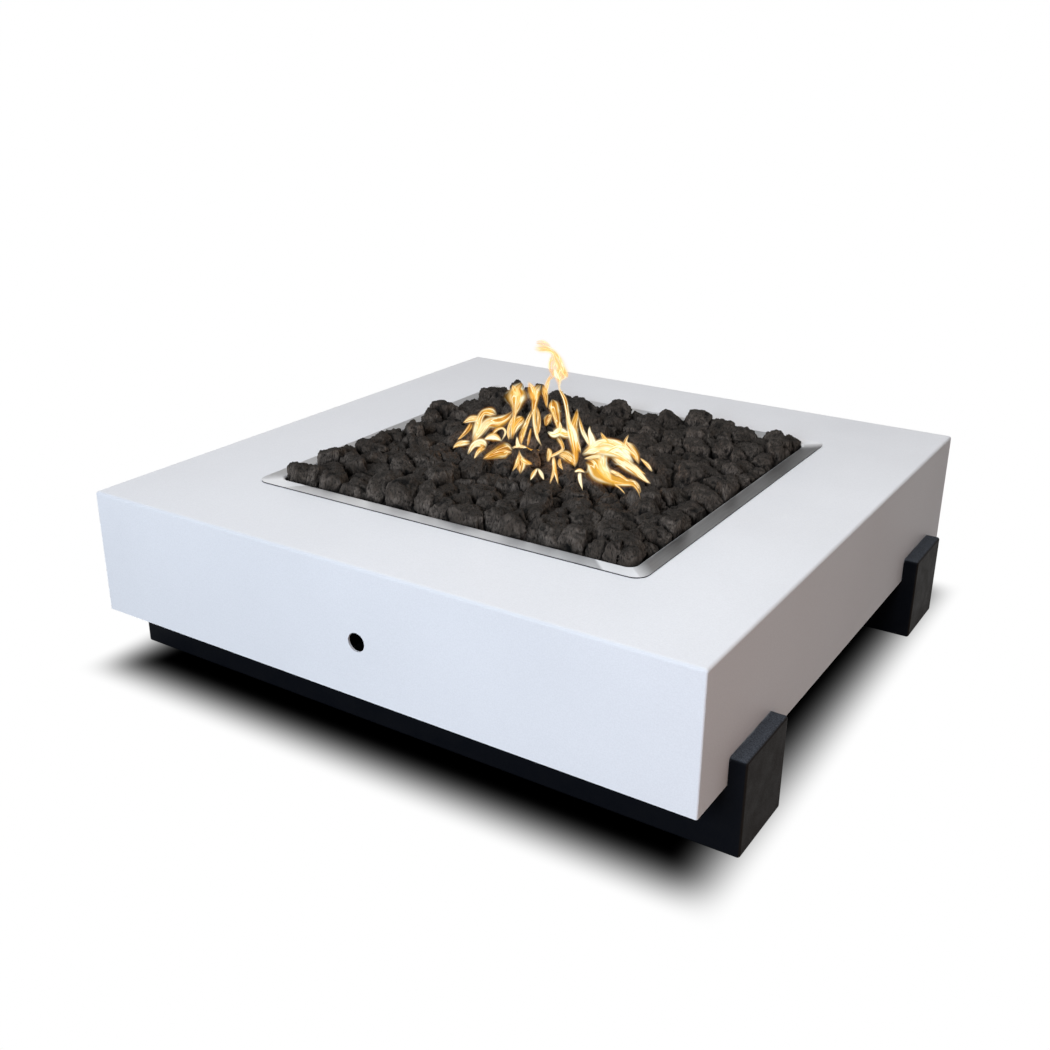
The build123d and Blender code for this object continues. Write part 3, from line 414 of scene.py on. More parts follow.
def edge_share(tree, width):
    """About 1 within that width of a sharp edge, 0 on flat faces."""
    rounded = add(tree, "ShaderNodeBevel", {"Radius": width}, samples=6).outputs[0]
    flat = add(tree, "ShaderNodeNewGeometry").outputs["Normal"]
    dot = add(tree, "ShaderNodeVectorMath", {0: rounded, 1: flat}, operation="DOT_PRODUCT").outputs["Value"]
    return remap(tree, dot, 0.995, 0.80)


def mixed_roughness(tree, first, second, low, high):
    """Roughness between low and high that follows two noises."""
    return remap(tree, math_node(tree, "ADD", first, second), *noise_sum, low, high)


def surface(name):
    """An empty material with its tree and its principled shader."""
    material = bpy.data.materials.new(name)
    material.use_nodes = True
    tree = material.node_tree
    return material, tree, tree.nodes["Principled BSDF"]


def connect(tree, shader, **outputs):
    """Feeds the shader's sockets; underscores stand for spaces."""
    for name, value in outputs.items():
        feed(tree, shader.inputs[name.replace("_", " ")], value)


# ---- Materials ----
def white_powder_coat():
    """Fine orange-peel coat with faint cloudiness, and painted shade that greys the edges where the top
    folds over to the front or back.
    """
    material, tree, shader = surface("white_powder_coat")
    place = object_place(tree)
    cloud = noise(tree, place, white_cloud_size, 4)
    grain = noise(tree, place, coat_grain_size, 2)
    peel = noise(tree, place, white_peel_size, 2)
    colour = tint(tree, *white_clouds, cloud, 0.3, 0.7)
    colour = tint(tree, white_speck, colour, grain, 0.35, 0.65, 0.86, 1.0)
    facing = facing_axes(tree)
    # painted shade: greyer on rounded edges that face both up and to the front or back
    fold_painted_shade = math_node(tree, "MINIMUM", facing["Z"], math_node(tree, "ABSOLUTE", facing["Y"]))
    colour = tint(tree, colour, white_fold_painted_shade, fold_painted_shade, 0.0, 0.6, 0, 0.5)
    rough = mixed_roughness(tree, cloud, grain, 0.48, 0.62)
    normal = bump(tree, peel, white_peel_height, 0.5, bump(tree, grain, white_grain_height, 0.5))
    connect(tree, shader, Base_Color=colour, Roughness=rough, Normal=normal, Specular_IOR_Level=0.3)
    return material


def black_powder_coat():
    """Black coat, painted darker on faces that look along Y and lighter and warmer on faces that look along
    X; dusty with a painted sheen and speckled on top; with wear and a painted highlight in grey along the
    upper edges.
    """
    material, tree, shader = surface("black_powder_coat")
    place = object_place(tree)
    grain = noise(tree, place, coat_grain_size, 3)
    patch = noise(tree, place, black_patch_size, 5, 0.65)
    facing = facing_axes(tree)
    # dusty grey with a painted sheen on faces that look up, speckled by the grain
    upward = remap(tree, facing["Z"], 0.5, 0.95)
    dust_and_sheen = product(tree, upward, remap(tree, grain, 0.38, 0.62, 0.45, 1))
    upright_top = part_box("front_cradle_uprights")[1][2]
    high = remap(tree, axes(tree, place)["Z"], upright_top - wear_and_highlight_reach, upright_top)
    # wear and a painted highlight, in patches along the upper edges near the tops
    scuffed_and_highlit_edge = product(tree, edge_share(tree, wear_and_highlight_edge), remap(tree, patch, 0.40, 0.60))
    wear_and_highlight = product(tree, scuffed_and_highlit_edge, high)
    # painted shading by facing: darker along Y, lighter and warmer along X
    sideways = math_node(tree, "ABSOLUTE", facing["X"])
    colour = tint(tree, black_front_painted_shade, black_side_painted_light, sideways, 0.4, 0.8)
    colour = tint(tree, colour, black_patch, patch, 0.3, 0.7, 0.12, 0)
    colour = mix_colour(tree, dust_and_sheen, colour, dust_and_sheen_grey)
    colour = mix_colour(tree, wear_and_highlight, colour, wear_and_highlight_grey)
    rough = mixed_roughness(tree, patch, grain, 0.42, 0.60)
    normal = bump(tree, grain, black_grain_height, 0.5)
    connect(tree, shader, Base_Color=colour, Roughness=rough, Normal=normal, Specular_IOR_Level=0.02)
    return material


def brushed_stainless():
    """Sheet brushed along each side of the tray, with faint stains, a matt band with a painted highlight
    at the corners, and a painted shadow along the cut edges.
    """
    material, tree, shader = surface("brushed_stainless")
    place = axes(tree, object_place(tree))
    across = math_node(tree, "ABSOLUTE", place["X"])
    along = math_node(tree, "ABSOLUTE", place["Y"])
    at_side = math_node(tree, "GREATER_THAN", across, along)
    at_end = math_node(tree, "SUBTRACT", 1.0, at_side)
    end_strokes = noise(tree, object_place(tree, (stroke_scale, 1, 1)), stroke_size, 4, 0.7)
    side_strokes = noise(tree, object_place(tree, (1, stroke_scale, 1)), stroke_size, 4, 0.7)
    strokes = mix_number(tree, at_side, end_strokes, side_strokes)
    stain = noise(tree, object_place(tree), steel_stain_size, 4)
    facing_up = facing_axes(tree)["Z"]
    table_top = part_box("top_panel")[1][2]
    level = remap(tree, place["Z"], table_top - cut_edge_shadow_depth, table_top)
    # painted shadow: the outer cut edge is darkened just below the table's top
    cut_edge_painted_shadow = product(tree, remap(tree, facing_up, 0.35, 0.15), level)
    from_corner = math_node(tree, "SUBTRACT", across, along)
    corner_highlight_patch = product(tree, remap(tree, from_corner, *corner_patch_start), remap(tree, from_corner, *corner_patch_end, 1, 0))
    corner_highlight_patch = product(tree, corner_highlight_patch, remap(tree, facing_up, 0.5, 0.7))
    bend = product(tree, remap(tree, facing_up, 0.99, 0.94, 0, 0.5), remap(tree, facing_up, 0.60, 0.75))
    matt = math_node(tree, "MAXIMUM", remap(tree, corner_highlight_patch, 0, 1, 0, 0.65), bend)
    metal = math_node(tree, "SUBTRACT", 1.0, matt)
    colour = tint(tree, *steel_clouds, stain, 0.3, 0.7)
    colour = mix_colour(tree, cut_edge_painted_shadow, colour, cut_edge_shadow_grey)
    colour = tint(tree, colour, steel_stroke, strokes, 0.42, 0.58, 0.16, 0)
    # painted highlight: lighter grey in the matt band along the corners' diagonals
    colour = tint(tree, colour, corner_highlight_grey, corner_highlight_patch, 0, 1, 0, 0.7)
    rough = mixed_roughness(tree, strokes, stain, 0.42, 0.54)
    rough = math_node(tree, "ADD", rough, remap(tree, corner_highlight_patch, 0, 1, 0, 0.16))
    tangent = add(tree, "ShaderNodeCombineXYZ", {"X": at_side, "Y": at_end, "Z": 0.0}).outputs[0]
    normal = bump(tree, strokes, stroke_height, 0.5)
    connect(tree, shader, Base_Color=colour, Metallic=metal, Roughness=rough, Normal=normal, Anisotropic=0.8)
    connect(tree, shader, Tangent=tangent)
    return material


def plain_metal(name, dark, light, rough_low, rough_high, size, metallic):
    """Clouds between two colours and a fine cast or drawn grain."""
    material, tree, shader = surface(name)
    place = object_place(tree)
    cloud = noise(tree, place, plain_cloud_ratio * size, 5, 0.6)
    grain = noise(tree, place, size / plain_cloud_ratio, 3)
    colour = tint(tree, (*dark, 1), (*light, 1), cloud, 0.3, 0.7)
    rough = mixed_roughness(tree, cloud, grain, rough_low, rough_high)
    normal = bump(tree, grain, plain_grain_height, 0.5)
    connect(tree, shader, Base_Color=colour, Metallic=metallic, Roughness=rough, Normal=normal)
    return material


def lava():
    """Porous rock: brown-grey on its ridges with pits and a rough grain, and painted shade: darker on faces
    that look up and in the low parts of its mottle, nearly black in its crevices, pits and hollows.
    """
    material, tree, shader = surface("lava")
    place = object_place(tree)
    drawn = object_place(tree, lava_stretch)
    cloud = noise(tree, place, lava_cloud_size, 3)
    mottle = noise(tree, drawn, lava_mottle_size, 5, 0.75)
    grain = noise(tree, drawn, lava_grain_size, 4, 0.7)
    pits = add(tree, "ShaderNodeTexVoronoi", {"Vector": drawn, "Scale": 1 / lava_pit_size})
    pits = pits.outputs["Distance"]
    hollow = point_value(tree, "hollow")
    openness = add(tree, "ShaderNodeAmbientOcclusion", {"Distance": crevice_shade_reach}, samples=6).outputs["AO"]
    colour = tint(tree, *lava_clouds, cloud, 0.38, 0.62)
    # painted shade: darker on faces that look up
    colour = tint(tree, colour, lava_top_painted_shade, facing_axes(tree)["Z"], 0.30, 0.92, 0, 0.78)
    # painted shade: darker where the mottle's bump sinks
    colour = tint(tree, colour, lava_mottle_painted_shade, mottle, 0.36, 0.58, 0.82, 0)
    # painted shade: nearly black where other stones are near
    colour = tint(tree, colour, lava_crevice_painted_shade, openness, 0.30, 0.72, 0.95, 0)
    # painted shade: darker toward the middle of each pit
    colour = tint(tree, colour, lava_pit_painted_shade, pits, 0.10, 0.38, 0.85, 0)
    # painted shade: nearly black where the stone's surface sinks into a hollow
    colour = tint(tree, colour, lava_hollow_painted_shade, hollow, 0.22, 0.70, 0, 0.97)
    normal = bump(tree, mottle, lava_mottle_height, 0.9)
    normal = bump(tree, grain, lava_grain_height, 0.9, normal)
    normal = bump(tree, pits, lava_pit_depth, 0.8, normal)
    rough = remap(tree, grain, 0.3, 0.7, 0.82, 0.97)
    connect(tree, shader, Base_Color=colour, Roughness=rough, Normal=normal, Specular_IOR_Level=0.2)
    return material


def from_middle(tree, share):
    """0 in the middle of a ribbon, 1 at its sides."""
    return math_node(tree, "ABSOLUTE", product(tree, math_node(tree, "SUBTRACT", share, 0.5), 2.0))


def flame():
    """Clear orange inside, cream along the rims and in fine threads; warm ribbons are cream all over."""
    material, tree, shader = surface("flame")
    ribbon_place = axes(tree, add(tree, "ShaderNodeUVMap", uv_map="ribbon").outputs[0])
    share, rise = ribbon_place["X"], ribbon_place["Y"]
    own, warmth, length = (point_value(tree, name) for name in ("own", "warmth", "length"))
    flow = {"X": share, "Y": product(tree, rise, length), "Z": own}
    flow = add(tree, "ShaderNodeCombineXYZ", flow).outputs[0]
    swirl = noise(tree, stretched(tree, flow, swirl_stretch), 1.0, 2)
    thread = math_node(tree, "SUBTRACT", noise(tree, stretched(tree, flow, thread_stretch), 1.0, 2), 0.5)
    thread = remap(tree, math_node(tree, "ABSOLUTE", thread), 0.0, 0.036, 0.95, 0)
    patch = remap(tree, noise(tree, stretched(tree, flow, patch_stretch), 1.0, 2), 0.38, 0.58, 0.30, 1)
    cloud = remap(tree, noise(tree, stretched(tree, flow, cloud_stretch), 1.0, 3), 0.40, 0.56, 0.15, 1)
    bent = product(tree, math_node(tree, "SUBTRACT", swirl, 0.5), swirl_share)
    side = from_middle(tree, math_node(tree, "ADD", share, bent))
    true_side = from_middle(tree, share)
    rim = product(tree, remap(tree, side, 0.18, 0.48), remap(tree, true_side, 0.44, 0.72, 1, 0))
    rim = product(tree, math_node(tree, "POWER", rim, 1.2), patch)
    outside = math_node(tree, "POWER", remap(tree, true_side, 0.36, 1.0, 1, 0), 2.6)
    ends = product(tree, remap(tree, rise, 0.0, 0.14), remap(tree, rise, 0.80, 1.0, 1, 0))
    inner = product(tree, warmth, remap(tree, true_side, 0.45, 0.72, 1, 0))
    full = remap(tree, warmth, 0.85, 1.0, 0, 0.45)
    body = product(tree, math_node(tree, "MAXIMUM", cloud, full), inner)
    light = math_node(tree, "MAXIMUM", rim, math_node(tree, "MAXIMUM", thread, body))
    least = remap(tree, warmth, 0.0, 1.0, 0.22, 0.62)
    solid = product(tree, mix_number(tree, light, least, 1.0), product(tree, ends, outside))
    pale = product(tree, light, remap(tree, warmth, 0.0, 1.0, 0.80, 1.20))
    colour = tint(tree, flame_deep, flame_orange, pale, 0.0, 0.34)
    colour = tint(tree, colour, flame_cream, pale, 0.36, 0.95)
    tree.nodes.remove(shader)
    glow = add(tree, "ShaderNodeEmission", {"Color": colour, "Strength": flame_strength}).outputs[0]
    clear = add(tree, "ShaderNodeBsdfTransparent").outputs[0]
    mixed = add(tree, "ShaderNodeMixShader", {0: solid, 1: clear, 2: glow}).outputs[0]
    tree.links.new(mixed, tree.nodes["Material Output"].inputs["Surface"])
    return material


def make_materials():
    """One material for each material slot of the record."""
    made = {"white_paint": white_powder_coat(), "black_paint": black_powder_coat()}
    made["stainless"] = brushed_stainless()
    for slot, look in plain_looks.items():
        made[slot] = plain_metal(*look)
    made["lava"] = lava()
    return made


def dress_nodes(made):
    """Each CAD node gets the material of its slot."""
    for name, node in frame["nodes"].items():
        for slot in node.material_slots:
            slot.material = made[slots[name]]


# ---- Seeded noise on points ----
def cell_hash(cells, seed):
    """Three numbers from 0 to 1 for each whole-number cell, the same every run."""
    mixed = (cells * hash_primes).sum(axis=1) + seed * hash_seed
    state = mixed.astype(np.uint64)
    columns = []
    for _ in range(3):
        state = (state ^ (state >> np.uint64(31))) * hash_mix
        state = state ^ (state >> np.uint64(27))
        columns.append((state >> np.uint64(40)).astype(float) / 2**24)
    return np.stack(columns, axis=1)


def lattice_noise(points, seed):
    """Smooth gradient noise, about -1 to 1, with features one unit wide."""
    cell = np.floor(points).astype(np.int64)
    local = points - cell
    fade = local**3 * (local * (local * 6 - 15) + 10)
    total = np.zeros(len(points))
    for corner in np.ndindex(2, 2, 2):
        corner = np.array(corner)
        gradient = 2 * cell_hash(cell + corner, seed) - 1
        weight = np.prod(np.where(corner, fade, 1 - fade), axis=1)
        total += weight * np.sum(gradient * (local - corner), axis=1)
    return lattice_gain * total


def cell_distance(points, seed):
    """Distance to the nearest of the scattered points, one in each unit cell."""
    cell = np.floor(points).astype(np.int64)
    nearest = np.full(len(points), np.inf)
    for shift in np.ndindex(3, 3, 3):
        neighbour = cell + np.array(shift) - 1
        spot = neighbour + cell_hash(neighbour, seed)
        nearest = np.minimum(nearest, np.linalg.norm(points - spot, axis=1))
    return nearest


# ---- Stones ----
def connected_faces(mesh):
    """The mesh's faces in lists, one for each separate stone."""
    seen = set()
    islands = []
    for first in mesh.faces:
        if first.index in seen:
            continue
        seen.add(first.index)
        island, queue = [], [first]
        while queue:
            face = queue.pop()
            island.append(face)
            for edge in face.edges:
                for other in edge.link_faces:
                    if other.index not in seen:
                        seen.add(other.index)
                        queue.append(other)
        islands.append(island)
    return islands


def cad_stones(node):
    """Centre, outward normals and offsets of the planes of each stone in a CAD node."""
    mesh = bmesh.new()
    mesh.from_mesh(frame["nodes"][node].data)
    bmesh.ops.remove_doubles(mesh, verts=mesh.verts, dist=corner_gap)
    mesh.faces.ensure_lookup_table()
    stones = []
    for island in connected_faces(mesh):
        corners = np.array([v.co for v in {v for face in island for v in face.verts}])
        centre = corners.mean(axis=0)
        planes = {}
        for face in island:
            normal = np.array(face.normal)
            offset = float(normal @ (np.array(face.verts[0].co) - centre))
            sign = 1 if offset > 0 else -1
            planes[tuple(np.round(sign * normal, 3))] = abs(offset)
        stones.append((centre, np.array(list(planes)), np.array(list(planes.values()))))
    mesh.free()
    return stones


def ball(detail):
    """Directions and triangles of an evenly divided ball."""
    mesh = bmesh.new()
    bmesh.ops.create_icosphere(mesh, subdivisions=detail, radius=1.0)
    directions = np.array([v.co for v in mesh.verts])
    triangles = np.array([[v.index for v in face.verts] for face in mesh.faces])
    mesh.free()
    return directions / np.linalg.norm(directions, axis=1)[:, None], triangles


def own_turn(seed):
    """Another turn and a small tilt for each stone."""
    dice = random.Random(seed)
    tilt = [math.radians(dice.uniform(-stone_tilt, stone_tilt)) for _ in range(2)]
    return np.array(Euler((*tilt, dice.uniform(0, 2 * math.pi))).to_matrix())


def chips(points, seed):
    """Planes that break faces off a stone, as outward normals and offsets."""
    dice = random.Random(chip_seed + seed)
    normals = np.array([[dice.gauss(0, 1) for _ in range(3)] for _ in range(stone_chips)])
    normals /= np.linalg.norm(normals, axis=1)[:, None]
    shares = np.array([dice.uniform(*chip_depth) for _ in range(stone_chips)])
    return normals, (points @ normals.T).max(axis=0) * shares


def reach_inside(directions, normals, offsets):
    """How far each direction goes before it meets the planes, with their edges rounded a little."""
    facing = np.maximum(directions @ normals.T, 0) / offsets
    return (facing**stone_rounding).sum(axis=1) ** (-1 / stone_rounding)


def held_by_tray(points, walls):
    """Points outside the walls, a box with the tray's round corners, are drawn in to it."""
    low, high = walls
    middle = (low[:2] + high[:2]) / 2
    core = (high[:2] - low[:2]) / 2 - tray_corner
    offset = points[:, :2] - middle
    inner = np.clip(offset, -core, core)
    beyond = offset - inner
    far = np.maximum(np.linalg.norm(beyond, axis=1), tray_corner)
    sideways = middle + inner + beyond * (tray_corner / far)[:, None]
    return np.column_stack((sideways, np.clip(points[:, 2], low[2], high[2])))


def rough_stone(stone, directions, seed, walls):
    """Points of one lava stone, and how hollow each is: CAD facets with chips, lumps, ledges and pits."""
    centre, normals, offsets = stone
    whole = directions * reach_inside(directions, normals, offsets)[:, None]
    chip_normals, chip_offsets = chips(whole, seed)
    normals = np.concatenate([normals, chip_normals])
    offsets = np.concatenate([offsets, chip_offsets])
    reach = reach_inside(directions, normals, offsets)
    place = (directions * reach[:, None]) @ own_turn(seed) / stone_stretch + stone_apart * seed
    warp_size, warp_reach = stone_warp
    place += warp_reach * np.stack([lattice_noise(place / warp_size, seed + k) for k in warp_seeds], axis=1)
    rise = np.full(len(directions), stone_fill)
    total = 0.0
    for size, height in stone_lumps:
        rise -= height * (2 * np.abs(lattice_noise(place / size, seed)) - lump_level)
        total += height
    for size, height in stone_ledges:
        rise += height * np.round(ledge_steps * lattice_noise(place / size, seed + ledge_seed)) / ledge_steps
        total += height
    for size, depth in stone_pits:
        rise -= depth * np.clip(1 - cell_distance(place / size, seed) / pit_reach, 0, 1)
        total += depth
    hollow = np.clip((stone_fill - rise) / (hollow_share * total), 0, 1)
    return held_by_tray(centre + directions * (reach + rise)[:, None], walls), hollow


def mesh_piece(name, points, faces, material):
    """A new smooth object from points and faces, in the row frame."""
    mesh = bpy.data.meshes.new(name)
    mesh.from_pydata(points.tolist(), [], faces.tolist())
    mesh.polygons.foreach_set("use_smooth", [True] * len(mesh.polygons))
    mesh.materials.append(material)
    piece = bpy.data.objects.new(name, mesh)
    bpy.context.scene.collection.objects.link(piece)
    return piece


def add_point_values(piece, name, values):
    """Stores a number for each point of a piece."""
    piece.data.attributes.new(name, "FLOAT", "POINT").data.foreach_set("value", values)


def add_stones(material):
    """The stones that show, in a few pieces that ride with the tray."""
    directions, triangles = ball(stone_detail)
    stones = cad_stones("upper_lava_stones")
    walls = [np.array(corner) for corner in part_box("upper_lava_stones")]
    for start in range(0, len(stones), stones_per_piece):
        batch = stones[start : start + stones_per_piece]
        made = [rough_stone(stone, directions, start + i, walls) for i, stone in enumerate(batch)]
        points = np.concatenate([own_points for own_points, _ in made])
        faces = np.concatenate([triangles + i * len(directions) for i in range(len(batch))])
        piece = mesh_piece(f"lava_bed_{start // stones_per_piece + 1}", points, faces, material)
        add_point_values(piece, "hollow", np.concatenate([hollow for _, hollow in made]))
        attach(piece, "tray")
        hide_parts("upper_lava_stones")


# ---- Hose ----
def hose_line():
    """Points along the hose's middle: straight, a bend, straight, a bend, straight."""
    low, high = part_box("gas_hose")
    radius = (high[2] - low[2]) / 2
    level = (high[2] + low[2]) / 2
    start_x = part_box("valve_flare_fittings")[1][0]
    end_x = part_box("tray_flare_fitting")[1][0]
    near_y, far_y = low[1] + radius, high[1] - radius
    bend = hose_bend_radius
    centre_x = high[0] - radius - bend
    line = [Vector((start_x, near_y, level))]
    for centre_y, first_angle in ((near_y + bend, -90), (far_y - bend, 0)):
        for step in range(hose_bend_steps + 1):
            angle = math.radians(first_angle + 90 * step / hose_bend_steps)
            x, y = centre_x + bend * math.cos(angle), centre_y + bend * math.sin(angle)
            line.append(Vector((x, y, level)))
    line.append(Vector((end_x, far_y, level)))
    return line, radius


def even_points(line, gap):
    """Points along a line, about that far apart, with the direction at each."""
    places, ahead = [], []
    for a, b in zip(line, line[1:]):
        steps = max(1, round((b - a).length / gap))
        for step in range(steps):
            places.append(a.lerp(b, step / steps))
            ahead.append((b - a).normalized())
    places.append(line[-1])
    ahead.append(ahead[-1])
    return places, ahead


def add_hose(material):
    """Corrugated hose that bends between the table and the tray."""
    line, radius = hose_line()
    places, ahead = even_points(line, hose_pitch / hose_rows)
    up = Vector((0, 0, 1))
    points, travel = [], 0.0
    for i, (place, direction) in enumerate(zip(places, ahead)):
        travel += (place - places[i - 1]).length if i else 0
        across = direction.cross(up).normalized()
        wave = radius - hose_wave * (1 + math.cos(2 * math.pi * travel / hose_pitch))
        for k in range(hose_sides):
            angle = 2 * math.pi * k / hose_sides
            points.append(place + wave * (math.cos(angle) * across + math.sin(angle) * up))
    ring = np.arange(len(places) - 1)[:, None] * hose_sides
    next_ring = ring + hose_sides
    k = np.arange(hose_sides)[None, :]
    after = (k + 1) % hose_sides
    faces = np.stack([ring + k, ring + after, next_ring + after, next_ring + k], axis=2).reshape(-1, 4)
    hose = mesh_piece("corrugated_hose", np.array(points), faces, material)
    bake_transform(hose)
    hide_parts("gas_hose")


# ---- Flames ----
def smooth_line(points):
    """Rows along a smooth curve through the points, evenly stepped from each to the next."""
    line = [2 * points[0] - points[1], *points, 2 * points[-1] - points[-2]]
    rows = []
    for a, b, c, d in zip(line, line[1:], line[2:], line[3:]):
        for step in range(flame_steps):
            t = step / flame_steps
            rows.append(b + 0.5 * t * (c - a + t * (2 * a - 5 * b + 4 * c - d + t * (3 * (b - c) + d - a))))
    return rows + [points[-1]]


def level_direction(degrees):
    """The level direction at that bearing, and the one a quarter turn on."""
    angle = math.radians(degrees)
    along = Vector((math.cos(angle), math.sin(angle), 0))
    return along, Vector((-along.y, along.x, 0))


def ribbon(depth, points, dice):
    """Rows of points across one flame, bowed towards the back, and its length."""
    back = (depth + flame_back) / mm_per_metre
    points = [Vector(point) / mm_per_metre * (1 + flame_taper * back) for point in points]
    rows = smooth_line(points)
    right, away = level_direction(flame_bearing)
    along, behind = level_direction(flame_bearing + dice.uniform(-flame_turn, flame_turn))
    up = Vector((0, 0, 1))
    middle = sum(point.x for point in points) / len(points)
    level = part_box("burner_tray")[1][2] + flame_rise
    root = right * middle + away * back + up * level
    shares = [2 * k / (flame_columns - 1) - 1 for k in range(flame_columns)]
    made = []
    for i, row in enumerate(rows):
        ahead = rows[min(i + 1, len(rows) - 1)] - rows[max(i - 1, 0)]
        ahead = Vector((ahead.x, ahead.y)).normalized()
        across = along * ahead.y - up * ahead.x
        place = root + along * (row.x - middle) + up * row.y
        half = max(row.z, flame_thinnest) * flame_spread / 2
        made.append([place + half * (flame_bow * (1 - p * p) * behind + p * across) for p in shares])
    return made, sum((Vector(b.xy) - Vector(a.xy)).length for a, b in zip(rows, rows[1:]))


def lick(line, dice):
    """A finer flame that wanders about along a ribbon."""
    share, side = dice.uniform(*lick_share), dice.uniform(-lick_drift, lick_drift)
    points = []
    for x, y, width in line:
        x += width * (side + dice.uniform(-lick_shake, lick_shake))
        points.append((x, y + dice.uniform(*lick_lift), share * width))
    return tuple(points)


def add_flames():
    """Low flames over the stones, which move with the tray."""
    dice = random.Random(flame_seed)
    lines = list(flame_lines)
    for depth, warmth, line in flame_lines:
        lines.extend((depth - lick_ahead, warmth, lick(line, dice)) for _ in range(flame_licks))
    points, faces, places = [], [], []
    values = {"own": [], "warmth": [], "length": []}
    for depth, warmth, line in lines:
        rows, length = ribbon(depth, line, dice)
        first = len(points)
        own = dice.uniform(0, flame_patterns)
        for name, value in (("own", own), ("warmth", warmth), ("length", length / flame_grain)):
            values[name].extend([value] * len(rows) * flame_columns)
        for i, row in enumerate(rows):
            points.extend(row)
            places.extend((k / (flame_columns - 1), i / (len(rows) - 1)) for k in range(flame_columns))
        for i in range(len(rows) - 1):
            for k in range(flame_columns - 1):
                corner = first + i * flame_columns + k
                faces.append((corner, corner + 1, corner + flame_columns + 1, corner + flame_columns))
    flames = mesh_piece("flames", np.array(points), np.array(faces), flame())
    for name, numbers in values.items():
        add_point_values(flames, name, numbers)
    layer = flames.data.uv_layers.new(name="ribbon")
    layer.data.foreach_set("uv", [part for i in np.array(faces).ravel() for part in places[i]])
    for light in ("shadow", "diffuse", "glossy"):
        setattr(flames, f"visible_{light}", False)
    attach(flames, "tray")


def add_glow():
    """Faint warm light from the flames on the stones round them."""
    for x, y in glow_places:
        lamp = bpy.data.lights.new("glow", "POINT")
        lamp.energy = glow_power
        lamp.color = glow_colour
        lamp.shadow_soft_size = glow_size
        holder = bpy.data.objects.new("glow", lamp)
        holder.location = (x, y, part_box("burner_tray")[1][2] + glow_height)
        bpy.context.scene.collection.objects.link(holder)
        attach(holder, "tray")


# ---- Stage ----
def seen_share(tree):
    """1 for what the camera, a reflection or clear material sees, 0 for what lights the object."""
    paths = add(tree, "ShaderNodeLightPath").outputs
    seen = math_node(tree, "MAXIMUM", paths["Is Camera Ray"], paths["Is Glossy Ray"])
    return math_node(tree, "MAXIMUM", seen, paths["Is Transmission Ray"])


def painted_floor_shadow(tree):
    """The painted shadow: 0 on the floor under the body, 1 away from it, with a soft edge along the body's
    outline.
    """
    place = axes(tree, object_place(tree))
    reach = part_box("top_panel")[1]
    dark = []
    for i, axis in enumerate("XY"):
        beyond = math_node(tree, "SUBTRACT", math_node(tree, "ABSOLUTE", place[axis]), reach[i])
        settings = {"Value": beyond, "From Min": shadow_edges[0], "From Max": shadow_edges[1]}
        lit = add(tree, "ShaderNodeMapRange", settings, interpolation_type="SMOOTHSTEP").outputs[0]
        dark.append(math_node(tree, "SUBTRACT", 1.0, math_node(tree, "POWER", lit, shadow_depth)))
    return math_node(tree, "SUBTRACT", 1.0, product(tree, *dark))


def add_floor():
    """White floor with a painted soft dark shadow along the table's outline, brown-grey in the light that it
    gives back.
    """
    mesh = bpy.data.meshes.new("floor")
    corners = [(x * floor_reach, y * floor_reach, 0) for x, y in ((-1, -1), (1, -1), (1, 1), (-1, 1))]
    mesh.from_pydata(corners, [], [(0, 1, 2, 3)])
    floor = bpy.data.objects.new("floor", mesh)
    bpy.context.scene.collection.objects.link(floor)
    material, tree, shader = surface("floor_white")
    plain = add(tree, "ShaderNodeEmission", {"Color": white, "Strength": painted_floor_shadow(tree)}).outputs[0]
    connect(tree, shader, Base_Color=floor_colour, Roughness=1.0, Specular_IOR_Level=0.0)
    shaders = {0: seen_share(tree), 1: shader.outputs[0], 2: plain}
    both = add(tree, "ShaderNodeMixShader", shaders).outputs[0]
    tree.links.new(both, tree.nodes["Material Output"].inputs["Surface"])
    mesh.materials.append(material)


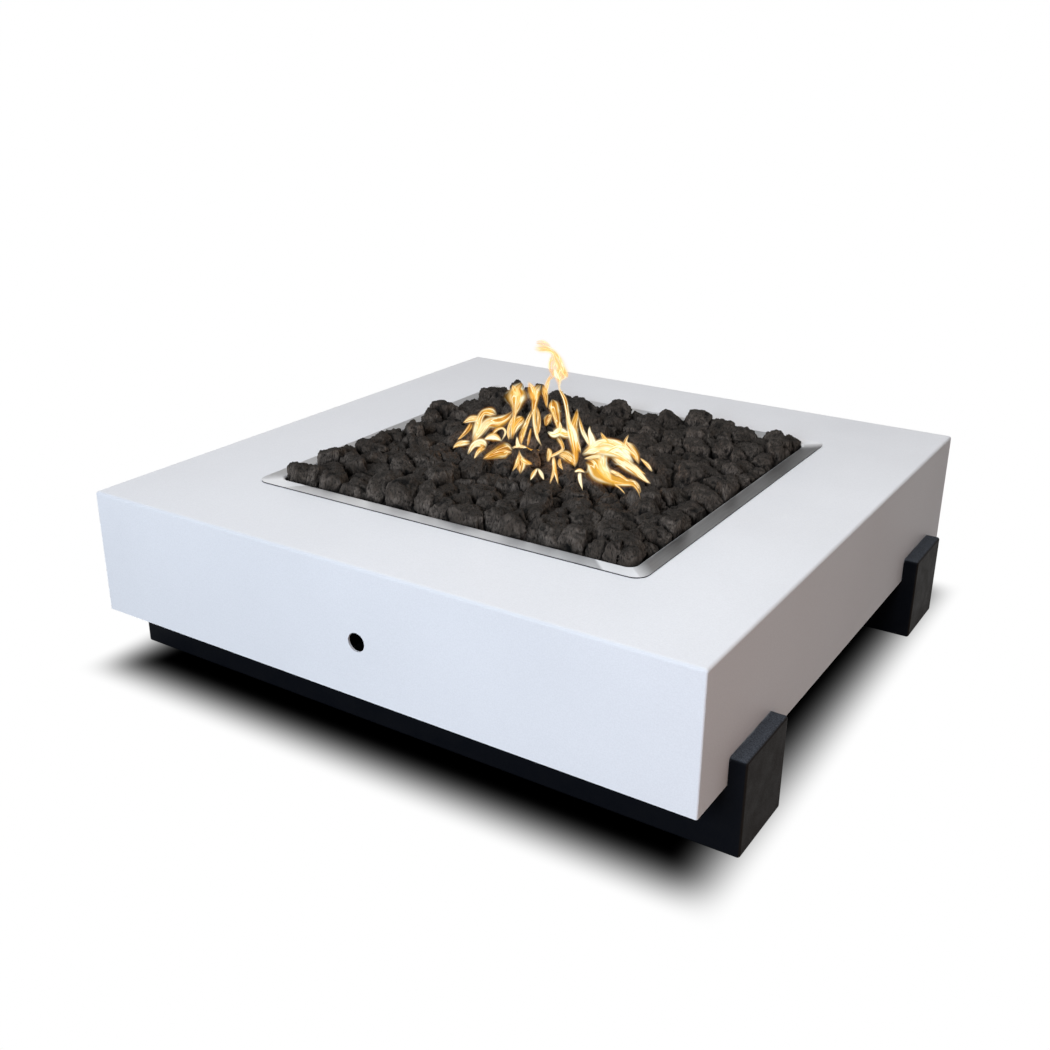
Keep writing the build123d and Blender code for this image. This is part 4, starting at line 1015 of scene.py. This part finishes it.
def add_world():
    """Even light. The camera sees white, and reflections a white horizon, a bright left and a dark right."""
    world = bpy.data.worlds.new("studio")
    bpy.context.scene.world = world
    world.use_nodes = True
    tree = world.node_tree
    paths = add(tree, "ShaderNodeLightPath").outputs
    direction = axes(tree, add(tree, "ShaderNodeTexCoord").outputs["Generated"])
    sideways = remap(tree, direction["X"], *side_edge, bright_side, dark_side)
    horizon = math_node(tree, "MAXIMUM", remap(tree, direction["Z"], *horizon_edge, 1.0, 0.0), sideways)
    mirrored = math_node(tree, "MAXIMUM", paths["Is Glossy Ray"], paths["Is Transmission Ray"])
    strength = mix_number(tree, mirrored, world_strength, horizon)
    strength = mix_number(tree, paths["Is Camera Ray"], strength, 1.0)
    lit = mix_colour(tree, seen_share(tree), world_tint, white)
    connect(tree, tree.nodes["Background"], Color=lit, Strength=strength)


def add_lamp(name, place, target, size, power, colour, mirrored):
    """A square lamp that aims at its target."""
    lamp = bpy.data.lights.new(name, "AREA")
    lamp.shape = "SQUARE"
    lamp.size = size
    lamp.energy = power
    lamp.color = colour
    holder = bpy.data.objects.new(name, lamp)
    holder.location = place
    holder.rotation_euler = (Vector(target) - Vector(place)).to_track_quat("-Z", "Y").to_euler()
    holder.visible_glossy = mirrored
    bpy.context.scene.collection.objects.link(holder)


def add_camera():
    """The camera, from its place, turn and lens."""
    yaw, down, roll = (math.radians(angle) for angle in camera_turn)
    forward = Vector((math.sin(yaw) * math.cos(down), math.cos(yaw) * math.cos(down), -math.sin(down)))
    right = Vector((math.cos(yaw), -math.sin(yaw), 0))
    below = forward.cross(right)
    side = right * math.cos(roll) + below * math.sin(roll)
    under = below * math.cos(roll) - right * math.sin(roll)
    lens = bpy.data.cameras.new("camera")
    lens.lens = camera_lens
    lens.sensor_width = camera_sensor
    camera = bpy.data.objects.new("camera", lens)
    turn = Matrix((side, -under, -forward)).transposed().to_4x4()
    camera.matrix_world = Matrix.Translation(camera_place) @ turn
    bpy.context.scene.collection.objects.link(camera)
    bpy.context.scene.camera = camera


bpy.context.scene.view_settings.view_transform = "Standard"
add_camera()
materials = make_materials()
dress_nodes(materials)
add_stones(materials["lava"])
add_hose(materials["hose_steel"])
add_flames()
add_glow()
add_floor()
add_world()
for lamp_values in lamps:
    add_lamp(*lamp_values)
